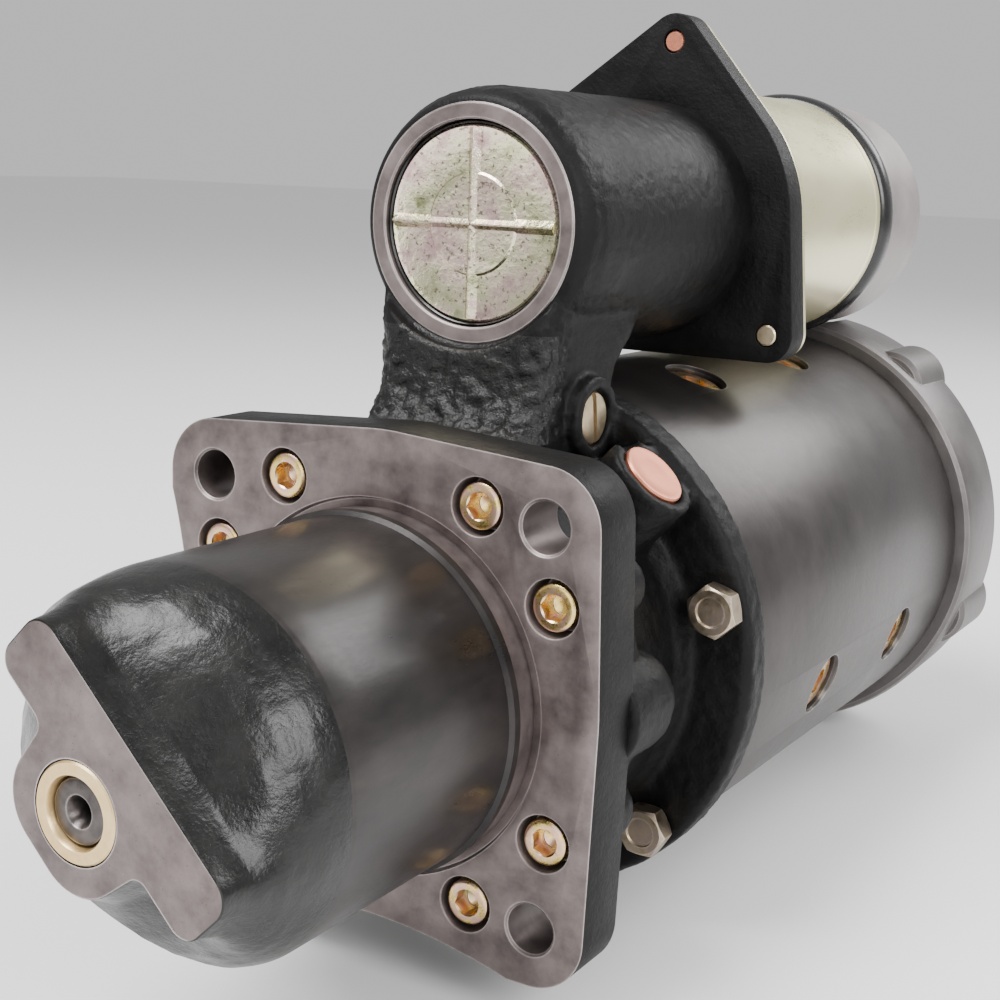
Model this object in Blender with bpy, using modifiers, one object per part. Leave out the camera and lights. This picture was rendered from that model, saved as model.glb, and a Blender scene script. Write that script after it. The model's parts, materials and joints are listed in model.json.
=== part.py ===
"""Heavy-duty starter motor, modelled as the separate pieces it is assembled from.

Layout of the model, in metres: the armature shaft is the Y axis with the pinion
nose at -Y, the solenoid lies above it, and +Z is up.  The origin is where the
shaft's axis meets the front face of the mounting flange.
"""

import math

import bmesh
import bpy
from mathutils import Matrix, Vector

# ---------------------------------------------------------------- clearances
GAP = 0.0003              # between pieces that touch
RUNNING_GAP = 0.0008      # armature to pole shoes
SLIDE_GAP = 0.0006        # fork pads in their grooves
CAP_CLEARANCE = 0.0008    # solenoid cap to the relief in the end frame

# ------------------------------------------------- facets round each kind of circle
LARGE = 46                # tubes and rims
NORMAL = 26               # bores and mid-sized turned pieces
SMALL = 14                # bosses, heads and studs
TINY = 8                  # screw holes and shanks

# ------------------------------------------------------------- nose housing
NOSE_LENGTH = 0.1015      # flange face to nose face
PILOT_RADIUS = 0.04604    # register that centres the nose in the flywheel housing
BARREL_RADIUS = 0.0455
NOSE_TAPER = 0.0335       # length over which the barrel turns into the end bar
NOSE_BORE = 0.0365
NOSE_WALL = 0.0135        # end wall that carries the nose bushing
BAR_TOP = 0.0227          # end bar, measured from the shaft towards upper right
BAR_BOTTOM = 0.0056
BAR_HALF_LENGTH = 0.0354
BOSS_BOTTOM = 0.0158      # bushing boss, measured towards the window
BOSS_HALF_WIDTH = 0.0152
BOSS_CORNER = 0.0125
BAR_ANGLE = math.radians(45)
WINDOW_EDGE = 0.0205      # window edges, from the shaft towards lower left
WINDOW_REAR = 0.030       # window end, from the flange face
WINDOW_CORNER = 0.010

# ---------------------------------------------------------- mounting flange
FLANGE_THICKNESS = 0.017
PATTERN_HALF = 0.050      # mounting holes stand on a 100 mm square
PATTERN_X = -0.0022
PATTERN_Z = -0.0020
CORNER_RADIUS = 0.0148
FLANGE_BULGE = 0.0630     # big circle that rounds the upper and right edges
FLANGE_BULGE_X = 0.0012
FLANGE_BULGE_Z = 0.0030
WAIST_RADIUS = 0.164      # hollow of the left and lower edges
WAIST_REACH = 0.0608
MOUNT_HOLE = 0.0064
UNDERCUT_RADIUS = 0.04875
UNDERCUT_DEPTH = 0.002
SCREW_CIRCLE = 0.0583
SOCKET_ANGLES = (30, 60, 120, 150, 210, 240, 300, 330)
COUNTERBORE = 0.0072
COUNTERBORE_DEPTH = 0.009
SOCKET_HEAD = 0.0059
SOCKET_HEAD_HEIGHT = 0.0079
SOCKET_SHANK = 0.00395
SOCKET_SCREW_REACH = 0.033
HEX_KEY = 0.00635         # across the flats of the key hole

# ------------------------------------------------------------ lever housing
LEVER_REAR = 0.076        # rear face, from the flange face
RING_RADIUS = 0.0605
RING_LENGTH = 0.012
SCREW_BOSS = 0.0088
SCREW_BOSS_LENGTH = 0.017
SIDE_LOBE = 0.014
SIDE_LOBE_LENGTH = 0.024
WAIST_OUTER = 0.0550
REAR_FLANGE_RADIUS = 0.0744
REAR_FLANGE_THICKNESS = 0.0115
LEVER_BORE = 0.0440
LEVER_LIP = 0.0370
NECK_HALF_WIDTH = 0.027
NECK_WALL = 0.0055
NECK_FRONT = 0.0345
NECK_REAR = 0.088
PASSAGE_REAR = 0.0703
FACING = 0.002            # casting stock that is cut off the front face
PLUG_BOSS_ANGLE = math.radians(47.5)
PLUG_BOSS_RADIUS = 0.0125
PLUG_BOSS_TOP = 0.0723
PLUG_BOSS_Y = 0.0540
CORE_PLUG_RADIUS = 0.0090
CORE_PLUG_THICKNESS = 0.0030

# ---------------------------------------------------- solenoid and its tube
SOLENOID_HEIGHT = 0.1146  # solenoid axis above the shaft
TUBE_FRONT = 0.0384
TUBE_RADIUS = 0.0354
TUBE_FACE_RADIUS = 0.0308
TUBE_BORE = 0.0265
PLUG_CENTRE = 0.0125      # raised disc in the inspection plug
PLUG_RIB = 0.0014         # half the width of its ribs
PLATE_FRONT = 0.1380
PLATE_THICKNESS = 0.0097
PLATE_DISC = 0.0475
EAR_CIRCLE = 0.0532
EAR_RADIUS = 0.0082
EAR_ANGLES = (82.6, -37.4, 202.6)
EAR_HOLE = 0.0034
PLATE_BOTTOM = 0.0741     # height where the plate is cut flat over the motor
CASE_RADIUS = 0.0405
CASE_WALL = 0.0016
CASE_FLANGE = 0.0030
CASE_LENGTH = 0.0900
GASKET_RADIUS = 0.0425
GASKET_BORE = 0.0340
GASKET_LENGTH = 0.0097
CAP_RADIUS = 0.0404
CAP_WALL = 0.0045
CAP_LENGTH = 0.0370
STUD_RADIUS = 0.0050
STUD_OFFSET = 0.0170
STUD_PROUD = 0.0210       # stud length behind the cap
STUD_HEAD = 0.0080
STUD_NUT = 0.0095
STUD_NUT_HEIGHT = 0.0065
PLUNGER_RADIUS = 0.0203
PLUNGER_FRONT = 0.1060
PLUNGER_LENGTH = 0.0840
PLUNGER_ROD = 0.0045
RETAINER_RADIUS = 0.0250
RETAINER_THICKNESS = 0.003
SPRING_RADIUS = 0.0233
SPRING_WIRE = 0.00125
SPRING_TURNS = 6
CORE_RADIUS = 0.0213
CORE_LENGTH = 0.0230
PUSH_ROD = 0.0033
CONTACT_RADIUS = 0.0130
CONTACT_THICKNESS = 0.003

# -------------------------------------------------------- motion of the drive
CONTACT_TRAVEL = 0.005
PIVOT_Y = 0.0550
PIVOT_Z = 0.0655
PIVOT_PIN = 0.0055
PIVOT_HEAD = 0.0070
PIVOT_FACE_X = 0.0311
PIVOT_BOSS = 0.0110
PAD_REST_OFFSET = 0.0050  # fork pads behind the pivot at rest
PAD_RADIUS = 0.0042
LEVER_THICKNESS = 0.0070
TIP_RADIUS = 0.0045
REST_ANGLE = math.asin(PAD_REST_OFFSET / PIVOT_Z)

# --------------------------------------------------------- shaft and drive
SHAFT_RADIUS = 0.0095
FRONT_JOURNAL = 0.0074
REAR_JOURNAL = 0.0080
CORE_SEAT = 0.0110
BUSHING_WALL = 0.0036
PINION_TEETH = 11
PINION_TIP = 0.0250
PINION_ROOT = 0.0180
PINION_FRONT = -0.0420
PINION_WIDTH = 0.0260
CLUTCH_RADIUS = 0.0320
CLUTCH_LENGTH = 0.0480
SLEEVE_RADIUS = 0.0135
COLLAR_RADIUS = 0.0215
COLLAR_GROOVE = 0.0155
COLLAR_FLANGE = 0.0035

# ------------------------------------------------------- motor and rear end
FRAME_RADIUS = 0.0717
FRAME_BORE = 0.0625
FRAME_REAR = 0.2542
POLE_ANGLES = (73, -17, -107, 163)
POLE_CENTRE_Y = 0.1710
POLE_LENGTH = 0.1120
POLE_SCREW_SPACING = 0.0680
POLE_SCREW_HEAD = 0.0090
POLE_SCREW_SHANK = 0.0056
POLE_RECESS_DEPTH = 0.0062
POLE_TIP_HALF_ANGLE = math.radians(36)
POLE_STEM_HALF_ANGLE = math.radians(20)
CORE_OUTER = 0.0415
CORE_SLOTS = 24
CORE_HALF_LENGTH = 0.0530
COMMUTATOR_RADIUS = 0.0260
COMMUTATOR_FRONT = 0.2370
COMMUTATOR_LENGTH = 0.0250
FRAME_BOLT_CIRCLE = 0.0670
FRAME_BOLT_ANGLES = (15.5, -44.5, -104.5, 195.5, 135.5)
FRAME_BOLT_SHANK = 0.00395
FRAME_BOLT_FLATS = 0.0127
FRAME_BOLT_HEAD = 0.0056
END_RADIUS = 0.0770
END_DEPTH = 0.0375
END_WALL = 0.0065
END_LOBE = 0.0132
END_BOLT_CIRCLE = 0.0672
END_BOLT_ANGLES = (54, -22, -126, 158)
END_BOLT_SHANK = 0.0030
END_BOLT_FLATS = 0.0111
END_BOLT_HEAD = 0.0046
BRUSH_HALF_WIDTH = 0.0060
BRUSH_LENGTH = 0.0190
BRUSH_WALL = 0.0030
BRUSH_ANGLES = (28, 118, 208, 298)

# ------------------------------------------------- places worked out from these
LEVER_FRONT = FLANGE_THICKNESS + GAP
FRAME_FRONT = LEVER_REAR + GAP
END_FRONT = FRAME_REAR + GAP
END_REAR = END_FRONT + END_DEPTH
PLATE_REAR = PLATE_FRONT + PLATE_THICKNESS
CASE_FRONT = PLATE_REAR + GAP
CASE_REAR = CASE_FRONT + CASE_LENGTH
GASKET_FRONT = CASE_REAR + GAP
CAP_FRONT = GASKET_FRONT + GASKET_LENGTH + GAP
CAP_REAR = CAP_FRONT + CAP_LENGTH
STUD_END = CAP_REAR + STUD_PROUD
CLUTCH_FRONT = PINION_FRONT + PINION_WIDTH + GAP
CLUTCH_REAR = CLUTCH_FRONT + CLUTCH_LENGTH
PAD_Y = PIVOT_Y + PAD_REST_OFFSET
UPPER_ARM = SOLENOID_HEIGHT - PIVOT_Z
TIP_Y = PIVOT_Y - UPPER_ARM * math.sin(REST_ANGLE)
REAR_FLANGE_FRONT = LEVER_REAR - REAR_FLANGE_THICKNESS
CENTRE_PLATE_THICKNESS = 0.004
CENTRE_PLATE_FRONT = LEVER_REAR - CENTRE_PLATE_THICKNESS
CENTRE_HUB_REAR = CENTRE_PLATE_FRONT + 0.012
CENTRE_HUB_RADIUS = 0.0185
END_HUB_FRONT = 0.2665
END_HUB_RADIUS = 0.0160
CONTACT_SEAT = CAP_REAR - 0.0210
FRAME_BOLT_END = FRAME_FRONT + 0.016
END_BOLT_START = FRAME_REAR - 0.016
POLE_SCREW_END = FRAME_BORE - 0.011

AXES = {
    "X": Matrix.Rotation(math.radians(90), 3, "Y"),
    "Y": Matrix.Rotation(math.radians(-90), 3, "X"),
    "Z": Matrix.Identity(3),
}

FINISHES = {
    "machined_iron": ((0.25, 0.22, 0.22), 0.42, 0.9),
    "black_iron": ((0.025, 0.025, 0.027), 0.55, 0.2),
    "frame_paint": ((0.16, 0.15, 0.15), 0.40, 0.7),
    "bronze": ((0.72, 0.50, 0.24), 0.35, 1.0),
    "copper": ((0.80, 0.42, 0.32), 0.35, 1.0),
    "zinc": ((0.78, 0.72, 0.50), 0.28, 1.0),
    "steel": ((0.35, 0.34, 0.34), 0.35, 1.0),
    "rubber": ((0.015, 0.015, 0.016), 0.30, 0.0),
    "moulding": ((0.30, 0.27, 0.28), 0.50, 0.0),
    "winding": ((0.45, 0.20, 0.09), 0.45, 0.8),
    "carbon": ((0.05, 0.05, 0.05), 0.60, 0.2),
}


# ------------------------------------------------------------ scene and pieces
def clear_scene():
    """Remove whatever the scene holds before the model is made."""
    for item in list(bpy.data.objects):
        bpy.data.objects.remove(item, do_unlink=True)


clear_scene()
PARTS = bpy.data.collections.new("starter_motor")
TOOLS = bpy.data.collections.new("cutters")
bpy.context.scene.collection.children.link(PARTS)
bpy.context.scene.collection.children.link(TOOLS)


def finish(name):
    """Return the named finish's material, made on first use."""
    material = bpy.data.materials.get(name)
    if material is None:
        colour, roughness, metallic = FINISHES[name]
        material = bpy.data.materials.new(name)
        material.use_nodes = True
        shader = material.node_tree.nodes["Principled BSDF"]
        shader.inputs["Base Color"].default_value = (*colour, 1)
        shader.inputs["Roughness"].default_value = roughness
        shader.inputs["Metallic"].default_value = metallic
    return material


def place(name, mesh, look, location=(0, 0, 0), turn=None):
    """Put a mesh in the scene: a part when it has a look, else a cutter."""
    piece = bpy.data.objects.new(name, mesh)
    piece.location = location
    if turn is not None:
        piece.rotation_euler = turn.to_euler()
    if look:
        PARTS.objects.link(piece)
        mesh.materials.append(finish(look))
    else:
        TOOLS.objects.link(piece)
        piece.hide_render = True
        piece.display_type = "WIRE"
    return piece


def boolean(target, tool, operation="DIFFERENCE"):
    """Cut or join one piece with a cutter."""
    modifier = target.modifiers.new(tool.name, "BOOLEAN")
    modifier.operation = operation
    modifier.solver = "EXACT"
    modifier.object = tool


def shade(mesh):
    """Shade a mesh smooth except along its real edges."""
    mesh.shade_smooth()
    mesh.set_sharp_from_angle(angle=math.radians(35))


# --------------------------------------------------------------- basic shapes
def turned(name, profile, look=None, location=(0, 0, 0), turn=AXES["Y"],
           steps=NORMAL, closed=False):
    """Turn a profile of (along, radius) points about an axis.

    The points run from the far end to the near end on the outside.  A closed
    profile goes back along the bore; an open one starts and ends on the axis.
    """
    mesh = bpy.data.meshes.new(name)
    points = [(radius, 0, along) for along, radius in profile]
    edges = [(index, index + 1) for index in range(len(points) - 1)]
    if closed:
        edges.append((len(points) - 1, 0))
    mesh.from_pydata(points, edges, [])
    piece = place(name, mesh, look, location, turn)
    screw = piece.modifiers.new("turn", "SCREW")
    screw.axis = "Z"
    screw.steps = steps
    screw.render_steps = steps
    screw.use_merge_vertices = True
    screw.merge_threshold = 0.00001
    screw.use_smooth_shade = False
    return piece


def rod(name, radius, start, end, look=None, location=(0, 0, 0), turn=AXES["Y"],
        steps=SMALL):
    """Make a plain cylinder between two places along its axis."""
    profile = [(end, 0), (end, radius), (start, radius), (start, 0)]
    return turned(name, profile, look, location, turn, steps)


def ring(name, outer, bore, start, end, look=None, location=(0, 0, 0),
         turn=AXES["Y"], steps=NORMAL):
    """Make a plain ring between two places along its axis."""
    profile = [(end, outer), (start, outer), (start, bore), (end, bore)]
    return turned(name, profile, look, location, turn, steps, closed=True)


def slab(name, outline, start, end, look=None, location=(0, 0, 0), turn=AXES["Y"]):
    """Extrude a flat outline along the turned Z axis, from start to end."""
    curve = bpy.data.curves.new(name, "CURVE")
    curve.dimensions = "2D"
    curve.fill_mode = "BOTH"
    curve.extrude = (end - start) / 2
    spline = curve.splines.new("POLY")
    spline.points.add(len(outline) - 1)
    for point, (across, up) in zip(spline.points, outline):
        point.co = (across, up, 0, 1)
    spline.use_cyclic_u = True
    holder = bpy.data.objects.new(name + "_outline", curve)
    TOOLS.objects.link(holder)
    graph = bpy.context.evaluated_depsgraph_get()
    mesh = bpy.data.meshes.new_from_object(holder.evaluated_get(graph))
    mesh.name = name
    mesh.materials.clear()
    bpy.data.objects.remove(holder, do_unlink=True)
    mesh.transform(Matrix.Translation((0, 0, (start + end) / 2)))
    weld(mesh)
    return place(name, mesh, look, location, turn)


def weld(mesh):
    """Weld a mesh's doubled points and turn its faces outwards."""
    work = bmesh.new()
    work.from_mesh(mesh)
    bmesh.ops.remove_doubles(work, verts=work.verts, dist=0.000001)
    bmesh.ops.recalc_face_normals(work, faces=work.faces)
    work.to_mesh(mesh)
    work.free()


def block(name, low, high, look=None, location=(0, 0, 0), turn=AXES["Z"]):
    """Make a box between two corners."""
    mesh = bpy.data.meshes.new(name)
    work = bmesh.new()
    bmesh.ops.create_cube(work, size=1)
    size = [high[axis] - low[axis] for axis in range(3)]
    middle = [(high[axis] + low[axis]) / 2 for axis in range(3)]
    bmesh.ops.scale(work, vec=size, verts=work.verts)
    bmesh.ops.translate(work, vec=middle, verts=work.verts)
    work.to_mesh(mesh)
    work.free()
    return place(name, mesh, look, location, turn)


def loft(name, rings, look=None, location=(0, 0, 0)):
    """Skin a stack of equal-sized point rings and close both ends."""
    mesh = bpy.data.meshes.new(name)
    work = bmesh.new()
    rows = [[work.verts.new(point) for point in points] for points in rings]
    count = len(rows[0])
    for lower, upper in zip(rows, rows[1:]):
        for index in range(count):
            after = (index + 1) % count
            work.faces.new((lower[index], lower[after], upper[after], upper[index]))
    work.faces.new(rows[0])
    work.faces.new(rows[-1])
    bmesh.ops.recalc_face_normals(work, faces=work.faces)
    work.to_mesh(mesh)
    work.free()
    return place(name, mesh, look, location)


def bevel(piece, width, segments=2, angle=40):
    """Round a piece's edges."""
    modifier = piece.modifiers.new("edges", "BEVEL")
    modifier.width = width
    modifier.segments = segments
    modifier.limit_method = "ANGLE"
    modifier.angle_limit = math.radians(angle)


# ------------------------------------------------------------------- outlines
def polar(radius, angle):
    """Return the point at a radius and an angle in radians."""
    return radius * math.cos(angle), radius * math.sin(angle)


def on_circle(radius, degrees):
    """Return (x, z) on a circle about the shaft."""
    return polar(radius, math.radians(degrees))


def circle_points(centre, radius, count=NORMAL):
    """Return points round a circle."""
    return [(centre[0] + across, centre[1] + up)
            for across, up in (polar(radius, math.tau * index / count)
                               for index in range(count))]


def hull(points):
    """Return the convex hull of flat points, anticlockwise."""
    ordered = sorted(set(points))

    def half(sequence):
        chain = []
        for point in sequence:
            while len(chain) > 1 and turn_of(chain[-2], chain[-1], point) <= 0:
                chain.pop()
            chain.append(point)
        return chain[:-1]

    return half(ordered) + half(ordered[::-1])


def turn_of(first, second, third):
    """Return twice the signed area of a triangle."""
    return ((second[0] - first[0]) * (third[1] - first[1])
            - (second[1] - first[1]) * (third[0] - first[0]))


def filleted(corners, arc_steps=5):
    """Return an outline whose corners (x, y, radius) are rounded by arcs."""
    outline = []
    count = len(corners)
    for index, (across, up, radius) in enumerate(corners):
        here = Vector((across, up))
        before = (Vector(corners[index - 1][:2]) - here).normalized()
        after = (Vector(corners[(index + 1) % count][:2]) - here).normalized()
        half = before.angle(after) / 2
        middle = here + (before + after).normalized() * radius / math.sin(half)
        start = here + before * radius / math.tan(half) - middle
        sweep = start.angle_signed(here + after * radius / math.tan(half) - middle)
        for step in range(arc_steps + 1):
            arm = start.copy()
            arm.rotate(Matrix.Rotation(-sweep * step / arc_steps, 2))
            outline.append(tuple(middle + arm))
    return outline


def resampled(outline, count):
    """Return points at equal steps of length round a closed outline."""
    points = [Vector(point) for point in outline]
    lengths = [(points[(index + 1) % len(points)] - point).length
               for index, point in enumerate(points)]
    step = sum(lengths) / count
    result = []
    index = 0
    start = 0.0
    for target in (step * number for number in range(count)):
        while start + lengths[index] <= target:
            start += lengths[index]
            index += 1
        share = (target - start) / lengths[index]
        result.append(points[index].lerp(points[(index + 1) % len(points)], share))
    return result


def hexagon(flats):
    """Return a hexagon's outline from its size across the flats."""
    radius = flats / 2 / math.cos(math.radians(30))
    return circle_points((0, 0), radius, 6)


def sector(inner, outer, half_angle, steps=10):
    """Return the outline of a ring sector centred on the local X axis."""
    angles = [half_angle * (2 * step / steps - 1) for step in range(steps + 1)]
    return ([polar(outer, angle) for angle in angles]
            + [polar(inner, angle) for angle in reversed(angles)])


def about_shaft(degrees):
    """Turn local X to an angle about the shaft and local Z along it."""
    return Matrix.Rotation(math.radians(-degrees), 3, "Y") @ AXES["Y"]


def radial(degrees):
    """Turn local Z to point away from the shaft at an angle."""
    across, up = on_circle(1, degrees)
    return Vector((across, 0, up)).to_track_quat("Z", "Y").to_matrix()


# --------------------------------------------------------------- nose housing
def nose_rings(count=LARGE):
    """Return the nose's rings: an end bar that swells into the round barrel."""
    half = [(BAR_TOP, BAR_HALF_LENGTH, 0.005), (BAR_BOTTOM, BAR_HALF_LENGTH, 0.004),
            (BAR_BOTTOM, BOSS_HALF_WIDTH + 0.0032, 0.003),
            (-BOSS_BOTTOM, BOSS_HALF_WIDTH, BOSS_CORNER)]
    corners = half + [(out, -along, radius) for out, along, radius in reversed(half)]
    bar = resampled([(BAR_TOP, 0.0)] + filleted(corners), count)
    rings = []
    for share in (0.0, 0.3, 0.65, 1.0):
        rings.append(nose_ring(bar, share))
    rings.append(nose_ring(bar, 1.0, -0.008))
    rings.append(nose_ring(bar, 1.0, -0.0075, PILOT_RADIUS))
    rings.append(nose_ring(bar, 1.0, FLANGE_THICKNESS / 2, PILOT_RADIUS))
    return rings


def nose_ring(bar, share, along=None, radius=BARREL_RADIUS):
    """Return one ring, part way from the end bar to the round barrel."""
    place_y = -NOSE_LENGTH + NOSE_TAPER * share if along is None else along
    swell = share ** 0.85
    ring_points = []
    for index, point in enumerate(bar):
        round_point = Vector(polar(radius, math.tau * index / len(bar)))
        mixed = point.lerp(round_point, swell)
        mixed.rotate(Matrix.Rotation(-BAR_ANGLE, 2))
        ring_points.append((mixed[0], place_y, mixed[1]))
    return ring_points


def flange_outline():
    """Return the flange's outline: four corners joined by bulged edges."""
    corners = []
    for side in (-1, 1):
        for level in (-1, 1):
            centre = (PATTERN_X + side * PATTERN_HALF, PATTERN_Z + level * PATTERN_HALF)
            corners += circle_points(centre, CORNER_RADIUS, NORMAL)
    middle = circle_points((FLANGE_BULGE_X, FLANGE_BULGE_Z), FLANGE_BULGE, LARGE)
    return mirrored(hull(corners + middle))


def mirrored(outline):
    """Turn an (x, z) outline into the local frame of a slab along Y."""
    return [(across, -up) for across, up in outline]


def make_nose_housing():
    """Flange and pinion housing in one casting."""
    housing = slab("nose_housing", flange_outline(), 0, FLANGE_THICKNESS,
                   "machined_iron")
    boolean(housing, loft("nose_barrel", nose_rings()), "UNION")
    for name, across, up in (("waist_left", -WAIST_REACH - WAIST_RADIUS, PATTERN_Z),
                             ("waist_low", PATTERN_X, -WAIST_REACH - WAIST_RADIUS)):
        waist = rod(name, WAIST_RADIUS, -0.01, 0.03, location=(across, 0, up),
                    steps=120)
        boolean(housing, waist)
    undercut = ring("undercut", UNDERCUT_RADIUS, PILOT_RADIUS + 0.0001, -0.004,
                    UNDERCUT_DEPTH, steps=LARGE)
    boolean(housing, undercut)
    cavity = [(0.03, 0), (0.03, NOSE_BORE), (-0.072, NOSE_BORE), (-0.080, 0.032),
              (-NOSE_LENGTH + NOSE_WALL, 0.0255), (-NOSE_LENGTH + NOSE_WALL, 0)]
    boolean(housing, turned("nose_cavity", cavity, steps=NORMAL))
    window = block("pinion_window", (-0.07, -0.13, -0.06),
                   (-WINDOW_EDGE, -WINDOW_REAR, 0.06),
                   turn=Matrix.Rotation(-BAR_ANGLE, 3, "Y"))
    bevel(window, WINDOW_CORNER, 3)
    boolean(housing, window)
    bore = rod("nose_bushing_bore", bushing_outer(FRONT_JOURNAL) + GAP,
               -NOSE_LENGTH - 0.01, -NOSE_LENGTH + 0.03, steps=NORMAL)
    boolean(housing, bore)
    for side in (-1, 1):
        for level in (-1, 1):
            drill_mount_hole(housing, side, level)
    for angle in SOCKET_ANGLES:
        drill_socket_hole(housing, angle)
    shade(housing.data)


def bushing_outer(journal):
    """Return a bushing's outer radius from its journal."""
    return journal + GAP + BUSHING_WALL


def drill_mount_hole(housing, side, level):
    """Drill one chamfered mounting hole through a flange corner."""
    centre = (PATTERN_X + side * PATTERN_HALF, 0, PATTERN_Z + level * PATTERN_HALF)
    profile = [(0.03, 0), (0.03, MOUNT_HOLE), (0.0006, MOUNT_HOLE),
               (-0.001, MOUNT_HOLE + 0.0016), (-0.001, 0)]
    name = f"mount_hole_{side + 1}{level + 1}"
    boolean(housing, turned(name, profile, location=centre, steps=NORMAL))


def drill_socket_hole(housing, angle):
    """Drill one counterbored screw hole in the flange."""
    across, up = on_circle(SCREW_CIRCLE, angle)
    profile = [(0.03, 0), (0.03, SOCKET_SHANK + GAP),
               (COUNTERBORE_DEPTH, SOCKET_SHANK + GAP),
               (COUNTERBORE_DEPTH, COUNTERBORE), (-0.01, COUNTERBORE), (-0.01, 0)]
    boolean(housing, turned(f"screw_hole_{angle}", profile,
                            location=(across, 0, up), steps=SMALL))


def make_socket_screws():
    """Eight socket-head screws that hold the nose to the lever housing."""
    head_rear = COUNTERBORE_DEPTH - GAP
    head_front = head_rear - SOCKET_HEAD_HEIGHT
    profile = [(SOCKET_SCREW_REACH, 0), (SOCKET_SCREW_REACH, SOCKET_SHANK),
               (head_rear, SOCKET_SHANK), (head_rear, SOCKET_HEAD),
               (head_front + 0.0006, SOCKET_HEAD),
               (head_front, SOCKET_HEAD - 0.0006), (head_front, 0)]
    for number, angle in enumerate(SOCKET_ANGLES, 1):
        across, up = on_circle(SCREW_CIRCLE, angle)
        screw = turned(f"socket_screw_{number}", profile, "zinc",
                       (across, 0, up), steps=TINY)
        key = slab(f"socket_key_{number}", hexagon(HEX_KEY), head_front - 0.002,
                   head_front + 0.0045, location=(across, 0, up))
        boolean(screw, key)


def make_bushings():
    """Bronze bushings in the nose, the centre plate and the end frame."""
    for name, journal, start, end in (
            ("nose_bushing", FRONT_JOURNAL, -NOSE_LENGTH, -NOSE_LENGTH + NOSE_WALL),
            ("center_bushing", SHAFT_RADIUS, CENTRE_PLATE_FRONT, CENTRE_HUB_REAR),
            ("end_bushing", REAR_JOURNAL, END_HUB_FRONT, END_REAR - END_WALL - GAP)):
        ring(name, bushing_outer(journal), journal + GAP, start, end, "bronze",
             steps=NORMAL)


# -------------------------------------------------------------- lever housing


def bell_profile():
    """Return the turned outside of the lever housing's lower body."""
    return [(LEVER_REAR, 0),
            (LEVER_REAR, REAR_FLANGE_RADIUS - 0.001),
            (LEVER_REAR - 0.001, REAR_FLANGE_RADIUS),
            (REAR_FLANGE_FRONT + 0.002, REAR_FLANGE_RADIUS),
            (REAR_FLANGE_FRONT, REAR_FLANGE_RADIUS - 0.002),
            (REAR_FLANGE_FRONT, WAIST_OUTER + 0.003),
            (REAR_FLANGE_FRONT - 0.006, WAIST_OUTER),
            (LEVER_FRONT + RING_LENGTH + 0.005, WAIST_OUTER),
            (LEVER_FRONT + RING_LENGTH, RING_RADIUS),
            (LEVER_FRONT - FACING, RING_RADIUS),
            (LEVER_FRONT - FACING, 0)]


def bell_hollow():
    """Return the turned inside of the lever housing's lower body."""
    return [(LEVER_REAR + 0.01, 0),
            (LEVER_REAR + 0.01, FRAME_BORE),
            (CENTRE_PLATE_FRONT - GAP, FRAME_BORE),
            (CENTRE_PLATE_FRONT - GAP, LEVER_LIP),
            (CENTRE_PLATE_FRONT - 0.006, LEVER_LIP),
            (CENTRE_PLATE_FRONT - 0.006, LEVER_BORE),
            (LEVER_FRONT + RING_LENGTH, LEVER_BORE),
            (LEVER_FRONT + RING_LENGTH, LEVER_LIP),
            (LEVER_FRONT - 0.01, LEVER_LIP),
            (LEVER_FRONT - 0.01, 0)]


def neck_outline():
    """Return the neck's side outline as (y, z) points, clockwise from below."""
    return [(LEVER_FRONT - 4 * FACING, 0.046), (LEVER_FRONT - 4 * FACING, 0.0580),
            (LEVER_FRONT, 0.0625),
            (0.0290, 0.0690), (NECK_FRONT, 0.0780), (NECK_FRONT, SOLENOID_HEIGHT),
            (NECK_REAR, SOLENOID_HEIGHT), (NECK_REAR, 0.0860),
            (LEVER_REAR - 0.001, 0.0748), (LEVER_REAR - 0.001, 0.046)]


def plate_outline(shrink=0.0):
    """Return the solenoid plate's outline: a disc with three ears, cut flat."""
    points = circle_points((0, 0), PLATE_DISC - shrink, LARGE)
    for angle in EAR_ANGLES:
        points += circle_points(on_circle(EAR_CIRCLE, angle), EAR_RADIUS - shrink,
                                SMALL)
    floor = PLATE_BOTTOM + shrink - SOLENOID_HEIGHT
    return mirrored(hull([(across, max(up, floor)) for across, up in points]))


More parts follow.
